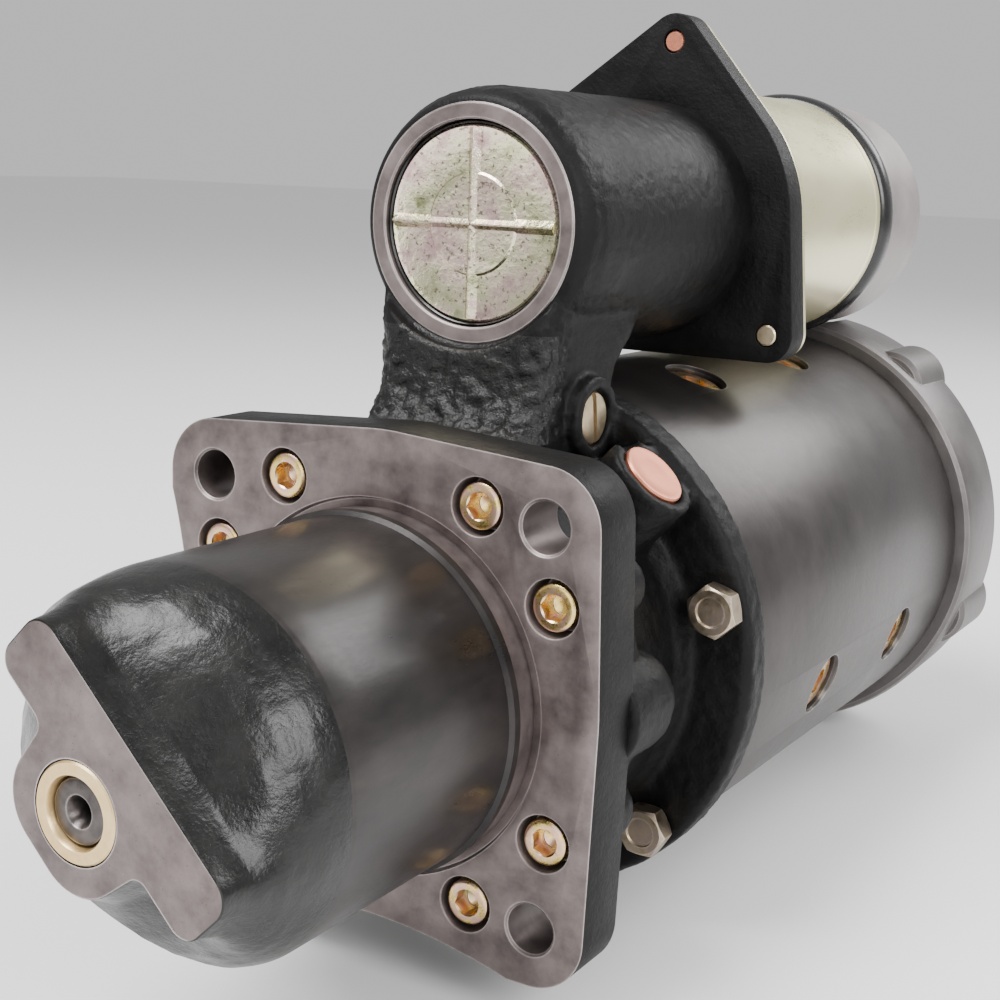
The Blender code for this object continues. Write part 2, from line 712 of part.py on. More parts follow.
def make_lever_housing():
    """Casting that carries the shift lever and the solenoid."""
    over = (0, 0, SOLENOID_HEIGHT)
    housing = turned("lever_housing", bell_profile(), "black_iron", steps=LARGE)
    side_on = Matrix(((0, 0, 1), (1, 0, 0), (0, 1, 0)))
    neck = slab("neck", neck_outline(), -NECK_HALF_WIDTH, NECK_HALF_WIDTH,
                turn=side_on)
    bevel(neck, 0.006, 2)
    boolean(neck, rod("ring_facing", TUBE_FACE_RADIUS + 0.0010, LEVER_FRONT - 0.02,
                      TUBE_FRONT + 0.0016, location=over, steps=LARGE))
    tube = [(PLATE_FRONT + 0.004, 0), (PLATE_FRONT + 0.004, TUBE_RADIUS),
            (TUBE_FRONT + 0.0110, TUBE_RADIUS), (TUBE_FRONT + 0.0045, 0.0343),
            (TUBE_FRONT + 0.0012, 0.0324), (TUBE_FRONT, TUBE_FACE_RADIUS),
            (TUBE_FRONT, 0)]
    guides = [neck, turned("tube", tube, location=over, steps=LARGE)]
    plate = slab("solenoid_plate", plate_outline(), PLATE_FRONT, PLATE_REAR,
                 location=over)
    bevel(plate, 0.0012, 1)
    guides.append(plate)
    for angle in SOCKET_ANGLES:
        across, up = on_circle(SCREW_CIRCLE, angle)
        guides.append(rod(f"screw_boss_{angle}", SCREW_BOSS, LEVER_FRONT - 2 * FACING,
                          LEVER_FRONT + SCREW_BOSS_LENGTH, location=(across, 0, up)))
    guides.append(rod("side_lobe", SIDE_LOBE, LEVER_FRONT - 3 * FACING,
                      LEVER_FRONT + SIDE_LOBE_LENGTH, location=(0.0525, 0, -0.001),
                      steps=NORMAL))
    guides.append(rod("plug_boss", PLUG_BOSS_RADIUS, 0.046, PLUG_BOSS_TOP,
                      location=(0, PLUG_BOSS_Y, 0),
                      turn=radial(math.degrees(PLUG_BOSS_ANGLE)), steps=NORMAL))
    guides.append(rod("pivot_boss", PIVOT_BOSS, -PIVOT_FACE_X, PIVOT_FACE_X,
                      location=(0, PIVOT_Y, PIVOT_Z), turn=AXES["X"], steps=NORMAL))
    for guide in guides:
        boolean(housing, guide, "UNION")
    hollow_lever_housing(housing, over)
    shade(housing.data)


def hollow_lever_housing(housing, over):
    """Cut the lever housing's bores, passage and screw holes."""
    inner = NECK_HALF_WIDTH - NECK_WALL
    boolean(housing, block("front_facing", (-0.1, -0.01, -0.1),
                           (0.1, LEVER_FRONT, 0.1)))
    boolean(housing, turned("lever_cavity", bell_hollow(), steps=NORMAL))
    boolean(housing, block("lever_passage", (-inner, NECK_FRONT + NECK_WALL, 0.02),
                           (inner, PASSAGE_REAR, SOLENOID_HEIGHT)))
    boolean(housing, rod("tube_bore", TUBE_BORE, TUBE_FRONT - 0.02,
                         PLATE_REAR + 0.01, location=over, steps=NORMAL))
    boolean(housing, rod("pivot_bore", PIVOT_PIN + GAP, -0.05, 0.05,
                         location=(0, PIVOT_Y, PIVOT_Z), turn=AXES["X"]))
    boolean(housing, rod("pivot_recess", PIVOT_HEAD + GAP, PIVOT_FACE_X - 0.0045,
                         0.05, location=(0, PIVOT_Y, PIVOT_Z), turn=AXES["X"]))
    boolean(housing, rod("core_plug_recess", CORE_PLUG_RADIUS + GAP,
                         PLUG_BOSS_TOP - CORE_PLUG_THICKNESS, 0.09,
                         location=(0, PLUG_BOSS_Y, 0),
                         turn=radial(math.degrees(PLUG_BOSS_ANGLE)), steps=NORMAL))
    for angle in SOCKET_ANGLES:
        across, up = on_circle(SCREW_CIRCLE, angle)
        boolean(housing, rod(f"screw_thread_{angle}", SOCKET_SHANK + GAP, 0.01,
                             SOCKET_SCREW_REACH + 2 * GAP, location=(across, 0, up),
                             steps=TINY))
    for angle in FRAME_BOLT_ANGLES:
        across, up = on_circle(FRAME_BOLT_CIRCLE, angle)
        boolean(housing, rod(f"frame_bolt_hole_{angle}", FRAME_BOLT_SHANK + GAP,
                             REAR_FLANGE_FRONT - 0.004, LEVER_REAR + 0.01,
                             location=(across, 0, up), steps=TINY))
        boolean(housing, rod(f"frame_bolt_seat_{angle}", FRAME_BOLT_FLATS * 0.72,
                             REAR_FLANGE_FRONT - FRAME_BOLT_HEAD - 0.002,
                             REAR_FLANGE_FRONT + 0.0002, location=(across, 0, up)))
    for number, angle in enumerate(EAR_ANGLES):
        across, up = on_circle(EAR_CIRCLE, angle)
        boolean(housing, rod(f"ear_hole_{number}", EAR_HOLE, PLATE_FRONT - 0.01,
                             PLATE_REAR + 0.01,
                             location=(across, 0, SOLENOID_HEIGHT + up), steps=TINY))


def make_front_closures():
    """Plugs that close the lever housing, and the lever's pivot screw."""
    plug_radius = TUBE_BORE - 0.0012
    plug_face = TUBE_FRONT + 0.0012
    over = (0, 0, SOLENOID_HEIGHT)
    plug = rod("inspection_plug", plug_radius, plug_face, plug_face + 0.0016, "zinc",
               over, steps=NORMAL)
    boolean(plug, rod("plug_centre", PLUG_CENTRE, plug_face - 0.0004, plug_face + 0.001,
                      location=over, steps=NORMAL), "UNION")
    rib_reach = plug_radius - 0.0007
    for name, width, height in (("plug_rib_across", rib_reach, PLUG_RIB),
                                ("plug_rib_up", PLUG_RIB, rib_reach)):
        rib = block(name, (-width, plug_face - 0.0009, -height),
                    (width, plug_face + 0.0008, height), location=over)
        boolean(plug, rib, "UNION")
    ring("plug_seal", TUBE_BORE - GAP, plug_radius + GAP, plug_face,
         plug_face + 0.0020, "rubber", over, steps=NORMAL)
    rod("core_plug", CORE_PLUG_RADIUS, PLUG_BOSS_TOP - CORE_PLUG_THICKNESS + GAP,
        PLUG_BOSS_TOP + 0.0004, "copper", (0, PLUG_BOSS_Y, 0),
        radial(math.degrees(PLUG_BOSS_ANGLE)), steps=NORMAL)
    head_in = PIVOT_FACE_X - 0.0045 + GAP
    head_out = PIVOT_FACE_X - 0.0008
    pin = [(head_out, 0), (head_out, PIVOT_HEAD - 0.0006),
           (head_out - 0.0006, PIVOT_HEAD), (head_in, PIVOT_HEAD),
           (head_in, PIVOT_PIN), (-PIVOT_FACE_X + 0.0005, PIVOT_PIN),
           (-PIVOT_FACE_X + 0.0005, 0)]
    here = (0, PIVOT_Y, PIVOT_Z)
    screw = turned("lever_pivot_screw", pin, "bronze", here, AXES["X"], steps=SMALL)
    boolean(screw, block("pivot_slot", (head_out - 0.0018, -0.0010, -0.01),
                         (head_out + 0.002, 0.0010, 0.01), location=here))


def make_center_plate():
    """Plate between lever housing and motor that carries the centre bushing."""
    bore = bushing_outer(SHAFT_RADIUS) + GAP
    rim = FRAME_BORE - GAP
    profile = [(CENTRE_HUB_REAR, CENTRE_HUB_RADIUS),
               (LEVER_REAR, CENTRE_HUB_RADIUS), (LEVER_REAR, rim),
               (CENTRE_PLATE_FRONT, rim), (CENTRE_PLATE_FRONT, bore),
               (CENTRE_HUB_REAR, bore)]
    turned("center_bearing_plate", profile, "machined_iron", steps=NORMAL, closed=True)


# ---------------------------------------------------------------- drive train
def make_pinion():
    """Drive pinion with straight teeth."""
    outline = []
    pitch = math.tau / PINION_TEETH
    for tooth in range(PINION_TEETH):
        centre = pitch * tooth
        for radius, offset in ((PINION_ROOT, -0.36), (PINION_TIP, -0.14),
                               (PINION_TIP, 0.14), (PINION_ROOT, 0.36)):
            outline.append(polar(radius, centre + offset * pitch))
    rear = PINION_FRONT + PINION_WIDTH
    pinion = slab("drive_pinion", outline, PINION_FRONT, rear, "steel")
    boolean(pinion, rod("pinion_bore", SHAFT_RADIUS + GAP, PINION_FRONT - 0.01,
                        rear + 0.01, steps=NORMAL))
    lead = [(rear + 0.001, 0), (rear + 0.001, 0.040), (PINION_FRONT + 0.003, 0.040),
            (PINION_FRONT + 0.003, PINION_TIP + 0.0002),
            (PINION_FRONT - 0.001, PINION_TIP - 0.0040), (PINION_FRONT - 0.001, 0)]
    boolean(pinion, turned("pinion_lead", lead, steps=PINION_TEETH * 4), "INTERSECT")


def make_clutch():
    """Overrunning clutch with its sleeve, and the collar the fork moves."""
    bore = SHAFT_RADIUS + GAP
    sleeve_end = PAD_Y + 0.010
    shell = [(sleeve_end, SLEEVE_RADIUS), (CLUTCH_REAR, SLEEVE_RADIUS),
             (CLUTCH_REAR, CLUTCH_RADIUS - 0.002),
             (CLUTCH_REAR - 0.002, CLUTCH_RADIUS),
             (CLUTCH_FRONT + 0.012, CLUTCH_RADIUS),
             (CLUTCH_FRONT + 0.009, CLUTCH_RADIUS - 0.004),
             (CLUTCH_FRONT, CLUTCH_RADIUS - 0.006), (CLUTCH_FRONT, bore),
             (sleeve_end, bore)]
    turned("clutch_shell", shell, "steel", steps=NORMAL, closed=True)
    half = PAD_RADIUS + SLIDE_GAP
    inside = SLEEVE_RADIUS + GAP
    collar = [(PAD_Y + half + COLLAR_FLANGE, COLLAR_RADIUS),
              (PAD_Y + half, COLLAR_RADIUS), (PAD_Y + half, COLLAR_GROOVE),
              (PAD_Y - half, COLLAR_GROOVE), (PAD_Y - half, COLLAR_RADIUS),
              (PAD_Y - half - COLLAR_FLANGE, COLLAR_RADIUS),
              (PAD_Y - half - COLLAR_FLANGE, inside),
              (PAD_Y + half + COLLAR_FLANGE, inside)]
    turned("shift_collar", collar, "steel", steps=NORMAL, closed=True)


def make_shift_lever():
    """Forked lever between the plunger and the collar, on its pivot."""
    here = (0, PIVOT_Y, PIVOT_Z)
    tilt = Matrix.Rotation(REST_ANGLE, 3, "X")
    upright = tilt @ AXES["Y"]
    sideways = tilt @ AXES["X"]
    flat = LEVER_THICKNESS / 2
    prong_in = COLLAR_RADIUS + 0.0009
    prong_out = prong_in + 0.0049
    fork_in = PLUNGER_ROD + 0.0008
    fork_out = fork_in + 0.0047
    foot = -PIVOT_Z - PAD_RADIUS
    tip = UPPER_ARM
    half = [(fork_in, 0.026), (fork_in, tip), (fork_out, tip), (fork_out, 0.018),
            (0.0120, 0.000), (0.0120, -0.014), (prong_out, -0.0435),
            (prong_out, foot), (prong_in, foot), (prong_in, -0.0425),
            (0.0100, -0.0310)]
    outline = half + [(-across, up) for across, up in reversed(half)]
    lever = slab("shift_lever", mirrored(outline), -flat, flat, "steel", here, upright)
    for name, radius, inner, outer, up in (
            ("tip", TIP_RADIUS, fork_in, fork_out, tip),
            ("pad", PAD_RADIUS, COLLAR_GROOVE + 0.0008, prong_out, -PIVOT_Z)):
        for side in (-1, 1):
            start, end = sorted((side * inner, side * outer))
            offset = tilt @ Vector((0, 0, up))
            spot = Vector(here) + offset
            boolean(lever, rod(f"lever_{name}_{side + 1}", radius, start, end,
                               location=spot, turn=sideways), "UNION")
    boolean(lever, rod("lever_hub", 0.0105, -0.0125, 0.0125, location=here,
                       turn=sideways, steps=NORMAL), "UNION")
    boolean(lever, rod("lever_bore", PIVOT_PIN + GAP, -0.03, 0.03, location=here,
                       turn=sideways))


# ------------------------------------------------------------------- solenoid
def make_plunger():
    """Plunger with the rod, nut and spring retainer that pull the lever."""
    gap = 0.0054
    nut_rear = TIP_Y - gap
    collar_front = TIP_Y + gap
    rear = PLUNGER_FRONT + PLUNGER_LENGTH
    flange = PLUNGER_FRONT - RETAINER_THICKNESS
    profile = [(rear, 0), (rear, PLUNGER_RADIUS - 0.0015),
               (rear - 0.0015, PLUNGER_RADIUS), (PLUNGER_FRONT, PLUNGER_RADIUS),
               (PLUNGER_FRONT, RETAINER_RADIUS), (flange, RETAINER_RADIUS),
               (flange, 0.007), (collar_front + 0.004, 0.007),
               (collar_front + 0.004, 0.0090), (collar_front, 0.0090),
               (collar_front, PLUNGER_ROD), (nut_rear, PLUNGER_ROD),
               (nut_rear, 0.0080), (nut_rear - 0.0034, 0.0080),
               (nut_rear - 0.0034, 0)]
    turned("solenoid_plunger", profile, "steel", (0, 0, SOLENOID_HEIGHT), steps=NORMAL)


def make_return_spring():
    """Coil spring that pushes the plunger forward."""
    start = PLUNGER_FRONT + GAP + SPRING_WIRE
    end = CASE_FRONT - GAP - SPRING_WIRE
    per_turn = 12
    count = SPRING_TURNS * per_turn
    curve = bpy.data.curves.new("return_spring", "CURVE")
    curve.dimensions = "3D"
    curve.bevel_depth = SPRING_WIRE
    curve.bevel_resolution = 0
    curve.use_fill_caps = True
    spline = curve.splines.new("POLY")
    spline.points.add(count)
    for index, point in enumerate(spline.points):
        across, up = polar(SPRING_RADIUS, math.tau * index / per_turn)
        along = start + (end - start) * index / count
        point.co = (across, along, SOLENOID_HEIGHT + up, 1)
    holder = bpy.data.objects.new("return_spring_wire", curve)
    TOOLS.objects.link(holder)
    graph = bpy.context.evaluated_depsgraph_get()
    mesh = bpy.data.meshes.new_from_object(holder.evaluated_get(graph))
    mesh.materials.clear()
    bpy.data.objects.remove(holder, do_unlink=True)
    weld(mesh)
    place("return_spring", mesh, "steel")


def make_solenoid():
    """Solenoid case, winding, core, gasket, cap and contact disc."""
    over = (0, 0, SOLENOID_HEIGHT)
    bore = PLUNGER_RADIUS + 0.0005
    case = slab("solenoid_case", plate_outline(0.0006), CASE_FRONT,
                CASE_FRONT + CASE_FLANGE, "zinc", over)
    can = rod("case_can", CASE_RADIUS, CASE_FRONT + 0.001, CASE_REAR, location=over,
              steps=LARGE)
    boolean(case, can, "UNION")
    boolean(case, rod("case_hollow", CASE_RADIUS - CASE_WALL,
                      CASE_FRONT + CASE_FLANGE, CASE_REAR + 0.01, location=over,
                      steps=LARGE))
    boolean(case, rod("case_bore", bore, CASE_FRONT - 0.01, CASE_FRONT + 0.02,
                      location=over, steps=NORMAL))
    for number, angle in enumerate(EAR_ANGLES):
        across, up = on_circle(EAR_CIRCLE, angle)
        boolean(case, rod(f"case_ear_hole_{number}", EAR_HOLE, CASE_FRONT - 0.01,
                          CASE_FRONT + 0.01,
                          location=(across, 0, SOLENOID_HEIGHT + up), steps=TINY))
    shade(case.data)
    ring("solenoid_winding", CASE_RADIUS - CASE_WALL - GAP, CORE_RADIUS + GAP,
         CASE_FRONT + CASE_FLANGE + 0.001, CASE_REAR - 0.003, "winding", over)
    core_rear = CASE_REAR - 0.001
    ring("solenoid_core", CORE_RADIUS, PUSH_ROD + GAP, core_rear - CORE_LENGTH,
         core_rear, "steel", over, steps=NORMAL)
    soft = 0.0022
    gasket_rear = GASKET_FRONT + GASKET_LENGTH
    gasket = [(gasket_rear, GASKET_RADIUS - 2 * soft),
              (gasket_rear - soft, GASKET_RADIUS - soft * 0.4),
              (gasket_rear - 2 * soft, GASKET_RADIUS),
              (GASKET_FRONT + soft, GASKET_RADIUS - soft * 0.4),
              (GASKET_FRONT, GASKET_RADIUS - 2 * soft), (GASKET_FRONT, GASKET_BORE),
              (gasket_rear, GASKET_BORE)]
    turned("solenoid_gasket", gasket, "rubber", over, steps=NORMAL, closed=True)
    make_cap(over)
    make_contact(over)


def make_cap(over):
    """Moulded cap that closes the solenoid and carries its studs."""
    inner = CAP_RADIUS - CAP_WALL
    floor = CAP_REAR - 0.006
    profile = [(CAP_REAR, 0), (CAP_REAR, CAP_RADIUS - 0.003),
               (CAP_REAR - 0.003, CAP_RADIUS), (CAP_FRONT, CAP_RADIUS),
               (CAP_FRONT, inner), (floor, inner), (floor, 0)]
    cap = turned("solenoid_cap", profile, "moulding", over, steps=NORMAL)
    for name, side in (("battery", 1), ("motor", -1)):
        spot = (side * STUD_OFFSET, 0, SOLENOID_HEIGHT)
        boolean(cap, rod(f"{name}_stud_hole", STUD_RADIUS + GAP, CAP_FRONT,
                         CAP_REAR + 0.01, location=spot, steps=SMALL))
        head = floor - GAP
        stud = [(STUD_END, 0), (STUD_END, STUD_RADIUS - 0.0006),
                (STUD_END - 0.0006, STUD_RADIUS), (head, STUD_RADIUS),
                (head, STUD_HEAD), (CONTACT_SEAT, STUD_HEAD), (CONTACT_SEAT, 0)]
        piece = turned(f"{name}_stud", stud, "copper", spot, steps=SMALL)
        nut = slab(f"{name}_nut", hexagon(STUD_NUT * 2), CAP_REAR + GAP,
                   CAP_REAR + GAP + STUD_NUT_HEIGHT, location=spot)
        boolean(piece, nut, "UNION")


def make_contact(over):
    """Contact disc on its push rod."""
    disc_rear = CONTACT_SEAT - CONTACT_TRAVEL - GAP
    disc_front = disc_rear - CONTACT_THICKNESS
    tip = CASE_REAR - 0.001 - CORE_LENGTH - CONTACT_TRAVEL - 0.001
    profile = [(disc_rear + 0.003, 0), (disc_rear + 0.003, PUSH_ROD),
               (disc_rear, PUSH_ROD), (disc_rear, CONTACT_RADIUS),
               (disc_front, CONTACT_RADIUS), (disc_front, PUSH_ROD),
               (tip, PUSH_ROD), (tip, 0)]
    turned("contact_disc", profile, "copper", over, steps=NORMAL)


# ---------------------------------------------------------------------- motor
def make_armature():
    """Shaft, laminated core with its end turns, and commutator."""
    tip = -NOSE_LENGTH + 0.0012
    rear = END_REAR - END_WALL - 0.001
    seat_front = POLE_CENTRE_Y - CORE_HALF_LENGTH - 0.020
    seat_rear = COMMUTATOR_FRONT + COMMUTATOR_LENGTH
    profile = [(rear, 0), (rear, REAR_JOURNAL), (END_HUB_FRONT - 0.001, REAR_JOURNAL),
               (END_HUB_FRONT - 0.001, SHAFT_RADIUS), (seat_rear, SHAFT_RADIUS),
               (seat_rear, CORE_SEAT), (seat_front, CORE_SEAT),
               (seat_front, SHAFT_RADIUS),
               (-NOSE_LENGTH + NOSE_WALL + 0.001, SHAFT_RADIUS),
               (-NOSE_LENGTH + NOSE_WALL + 0.001, FRONT_JOURNAL),
               (tip + 0.0008, FRONT_JOURNAL), (tip, FRONT_JOURNAL - 0.0008),
               (tip, 0.0029), (tip + 0.0030, 0.0016), (tip + 0.0075, 0.0014),
               (tip + 0.0085, 0)]
    turned("armature_shaft", profile, "steel", steps=NORMAL)
    outline = []
    pitch = math.tau / CORE_SLOTS
    for slot in range(CORE_SLOTS):
        centre = pitch * slot
        for radius, offset in ((CORE_OUTER, -0.42), (CORE_OUTER, 0.0),
                               (CORE_OUTER, 0.42), (CORE_OUTER - 0.003, 0.44),
                               (CORE_OUTER - 0.003, 0.56)):
            outline.append(polar(radius, centre + offset * pitch))
    core = slab("armature_core", outline, POLE_CENTRE_Y - CORE_HALF_LENGTH,
                POLE_CENTRE_Y + CORE_HALF_LENGTH, "winding")
    turns = [(COMMUTATOR_FRONT - 0.003, 0), (COMMUTATOR_FRONT - 0.003, 0.0310),
             (POLE_CENTRE_Y + CORE_HALF_LENGTH - 0.001, 0.0365),
             (POLE_CENTRE_Y - CORE_HALF_LENGTH + 0.001, 0.0365),
             (seat_front + 0.004, 0.0330), (seat_front + 0.004, 0)]
    boolean(core, turned("end_turns", turns, steps=NORMAL), "UNION")
    boolean(core, rod("core_bore", CORE_SEAT + GAP, 0, 0.3, steps=NORMAL))
    ring("commutator", COMMUTATOR_RADIUS, CORE_SEAT + GAP,
         COMMUTATOR_FRONT - 0.003 + GAP, seat_rear, "copper", steps=NORMAL)


def make_field_frame():
    """Steel tube that holds the poles, drilled for its screws and bolts."""
    profile = [(FRAME_REAR, FRAME_RADIUS - 0.0006),
               (FRAME_REAR - 0.0006, FRAME_RADIUS), (FRAME_FRONT + 0.0006, FRAME_RADIUS),
               (FRAME_FRONT, FRAME_RADIUS - 0.0006), (FRAME_FRONT, FRAME_BORE),
               (FRAME_REAR, FRAME_BORE)]
    frame = turned("field_frame", profile, "frame_paint", steps=LARGE, closed=True)
    for angle in POLE_ANGLES:
        for side in (-1, 1):
            spot = (0, POLE_CENTRE_Y + side * POLE_SCREW_SPACING / 2, 0)
            recess = [(0.09, 0), (0.09, POLE_SCREW_HEAD + GAP),
                      (FRAME_RADIUS - POLE_RECESS_DEPTH, POLE_SCREW_HEAD + GAP),
                      (FRAME_RADIUS - POLE_RECESS_DEPTH, POLE_SCREW_SHANK + GAP),
                      (0.04, POLE_SCREW_SHANK + GAP), (0.04, 0)]
            boolean(frame, turned(f"pole_recess_{angle}_{side + 1}", recess,
                                  location=spot, turn=radial(angle), steps=SMALL))
    for circle, angles, radius, start, end in (
            (FRAME_BOLT_CIRCLE, FRAME_BOLT_ANGLES, FRAME_BOLT_SHANK,
             FRAME_FRONT - 0.01, FRAME_BOLT_END + 0.002),
            (END_BOLT_CIRCLE, END_BOLT_ANGLES, END_BOLT_SHANK,
             END_BOLT_START - 0.002, FRAME_REAR + 0.01)):
        for angle in angles:
            across, up = on_circle(circle, angle)
            boolean(frame, rod(f"frame_thread_{angle}", radius + GAP, start, end,
                               location=(across, 0, up), steps=TINY))
    shade(frame.data)


def make_poles():
    """Pole shoes with the screws of the two poles that face outwards."""
    inner = CORE_OUTER + RUNNING_GAP
    tips = sector(inner, inner + 0.004, POLE_TIP_HALF_ANGLE, 8)
    stem = sector(inner + 0.002, FRAME_BORE - GAP, POLE_STEM_HALF_ANGLE, 4)
    start = POLE_CENTRE_Y - POLE_LENGTH / 2
    end = POLE_CENTRE_Y + POLE_LENGTH / 2
    for number, angle in enumerate(POLE_ANGLES, 1):
        shoe = slab(f"pole_shoe_{number}", tips, start, end, "steel",
                    turn=about_shaft(angle))
        boolean(shoe, slab(f"pole_stem_{number}", stem, start + 0.001, end - 0.001,
                           turn=about_shaft(angle)), "UNION")
        for side in (-1, 1):
            spot = (0, POLE_CENTRE_Y + side * POLE_SCREW_SPACING / 2, 0)
            boolean(shoe, rod(f"pole_thread_{number}_{side + 1}",
                              POLE_SCREW_SHANK + GAP, POLE_SCREW_END - 0.001, 0.09,
                              location=spot, turn=radial(angle), steps=SMALL))
    for number, (angle, side) in enumerate(((73, -1), (73, 1), (-17, -1), (-17, 1)), 1):
        make_pole_screw(number, angle, side)


def make_pole_screw(number, angle, side):
    """One countersunk pole screw with a hexagon key hole."""
    spot = (0, POLE_CENTRE_Y + side * POLE_SCREW_SPACING / 2, 0)
    seat = FRAME_RADIUS - POLE_RECESS_DEPTH + GAP
    top = seat + 0.0038
    profile = [(top, 0), (top, POLE_SCREW_HEAD - 0.0008),
               (top - 0.0008, POLE_SCREW_HEAD), (seat, POLE_SCREW_HEAD),
               (seat, POLE_SCREW_SHANK), (POLE_SCREW_END, POLE_SCREW_SHANK),
               (POLE_SCREW_END, 0)]
    screw = turned(f"pole_screw_{number}", profile, "zinc", spot, radial(angle),
                   steps=SMALL)
    boolean(screw, slab(f"pole_key_{number}", hexagon(0.008), top - 0.0028,
                        top + 0.002, location=spot, turn=radial(angle)))


def make_field_coils():
    """Four field coils joined by their series strap."""
    inner = CORE_OUTER + RUNNING_GAP + 0.004 + GAP
    outer = FRAME_BORE - 0.0006
    start = POLE_CENTRE_Y - POLE_LENGTH / 2 - 0.012
    end = POLE_CENTRE_Y + POLE_LENGTH / 2 + 0.012
    hole = POLE_STEM_HALF_ANGLE + 0.02
    strap_front = end - 0.004
    coils = ring("field_coils", outer - 0.003, outer - 0.009, strap_front,
                 strap_front + 0.003, "winding", steps=LARGE)
    for number, angle in enumerate(POLE_ANGLES, 1):
        coil = slab(f"coil_{number}", sector(inner, outer, math.radians(39), 8),
                    start, end, turn=about_shaft(angle))
        boolean(coils, coil, "UNION")
    for number, angle in enumerate(POLE_ANGLES, 1):
        gap = slab(f"coil_gap_{number}", sector(inner - 0.01, outer + 0.01, hole, 4),
                   start + 0.0115, end - 0.0115, turn=about_shaft(angle))
        boolean(coils, gap)


def make_frame_bolts():
    """Hexagon bolts between the lever housing and the field frame."""
    head_rear = REAR_FLANGE_FRONT - GAP
    head_front = head_rear - FRAME_BOLT_HEAD
    for number, angle in enumerate(FRAME_BOLT_ANGLES, 1):
        across, up = on_circle(FRAME_BOLT_CIRCLE, angle)
        hex_bolt(f"frame_bolt_{number}", (across, 0, up), FRAME_BOLT_FLATS,
                 (head_front, head_rear), FRAME_BOLT_SHANK, FRAME_BOLT_END)


def make_end_bolts():
    """Hexagon bolts between the end frame and the field frame."""
    head_front = END_REAR + GAP
    for number, angle in enumerate(END_BOLT_ANGLES, 1):
        across, up = on_circle(END_BOLT_CIRCLE, angle)
        hex_bolt(f"end_bolt_{number}", (across, 0, up), END_BOLT_FLATS,
                 (head_front + END_BOLT_HEAD, head_front), END_BOLT_SHANK,
                 END_BOLT_START)


def hex_bolt(name, spot, flats, head, shank, end):
    """Make one bolt: its head's outer and seat places, shank radius and end."""
    seat = head[1]
    way = 1 if end > seat else -1
    start, stop = sorted((seat - way * 0.001, end))
    bolt = rod(name, shank, start, stop, "zinc", spot, steps=TINY)
    boolean(bolt, slab(name + "_hexagon", hexagon(flats), min(head), max(head),
                       location=spot), "UNION")
    return bolt


def make_end_frame():
    """Commutator end frame: a cup with bolt lobes and a blind hub."""
    floor = END_REAR - END_WALL
    profile = [(END_REAR, 0), (END_REAR, END_RADIUS - 0.004),
               (END_REAR - 0.004, END_RADIUS - 0.0008),
               (END_FRONT + 0.003, END_RADIUS), (END_FRONT, END_RADIUS - 0.0015),
               (END_FRONT, 0)]
    frame = turned("end_frame", profile, "frame_paint", steps=LARGE)
    for angle in END_BOLT_ANGLES:
        across, up = on_circle(END_BOLT_CIRCLE, angle)
        lobe = rod(f"end_lobe_{angle}", END_LOBE, END_FRONT + 0.006, END_REAR - 0.001,
                   location=(across, 0, up), steps=NORMAL)
        boolean(frame, lobe, "UNION")
    inner = FRAME_BORE + 0.0005
    hollow = [(floor, 0), (floor, inner), (END_FRONT - 0.01, inner),
              (END_FRONT - 0.01, 0)]
    boolean(frame, turned("end_hollow", hollow, steps=LARGE))
    boolean(frame, rod("cap_relief", CAP_RADIUS + CAP_CLEARANCE, END_FRONT - 0.01,
                       CAP_REAR + 0.02, location=(0, 0, SOLENOID_HEIGHT),
                       steps=LARGE))
    hub = rod("end_hub", END_HUB_RADIUS, END_HUB_FRONT, floor + 0.001, steps=NORMAL)
    boolean(frame, hub, "UNION")
    boolean(frame, rod("end_hub_bore", bushing_outer(REAR_JOURNAL) + GAP,
                       END_HUB_FRONT - 0.01, floor, steps=NORMAL))
    for angle in END_BOLT_ANGLES:
        across, up = on_circle(END_BOLT_CIRCLE, angle)
        boolean(frame, rod(f"end_bolt_hole_{angle}", END_BOLT_SHANK + GAP,
                           END_FRONT - 0.01, END_REAR + 0.01,
                           location=(across, 0, up), steps=TINY))
    shade(frame.data)


def make_brush_gear():
    """Brush holder ring with four boxes, and the brushes in them."""
    plate_front = COMMUTATOR_FRONT + COMMUTATOR_LENGTH + 0.0040
    plate_rear = plate_front + 0.0030
    box_front = POLE_CENTRE_Y + POLE_LENGTH / 2 + 0.0175
    box_in = COMMUTATOR_RADIUS + 0.003
    box_out = box_in + 0.0190
    side = BRUSH_HALF_WIDTH + GAP + BRUSH_WALL
    holder = ring("brush_holder", FRAME_BORE - 0.001, 0.0300, plate_front,
                  plate_rear, "steel", steps=NORMAL)
    slot = BRUSH_HALF_WIDTH + GAP
    for angle in BRUSH_ANGLES:
        turn = about_shaft(angle)
        box = block(f"brush_box_{angle}", (box_in, -side, box_front),
                    (box_out, side, plate_front + 0.001), turn=turn)
        boolean(holder, box, "UNION")
    for angle in BRUSH_ANGLES:
        turn = about_shaft(angle)
        channel = block(f"brush_channel_{angle}",
                        (box_in - 0.01, -slot, box_front + BRUSH_WALL),
                        (box_out + 0.01, slot, plate_front - 0.0016), turn=turn)
        boolean(holder, channel)
    for number, angle in enumerate(BRUSH_ANGLES, 1):
        start = COMMUTATOR_RADIUS + GAP
        brush = block(f"brush_{number}",
                      (start, -BRUSH_HALF_WIDTH, box_front + BRUSH_WALL + GAP),
                      (start + BRUSH_LENGTH, BRUSH_HALF_WIDTH,
                       plate_front - 0.0016 - GAP), "carbon",
                      turn=about_shaft(angle))
        bevel(brush, 0.0006, 1)


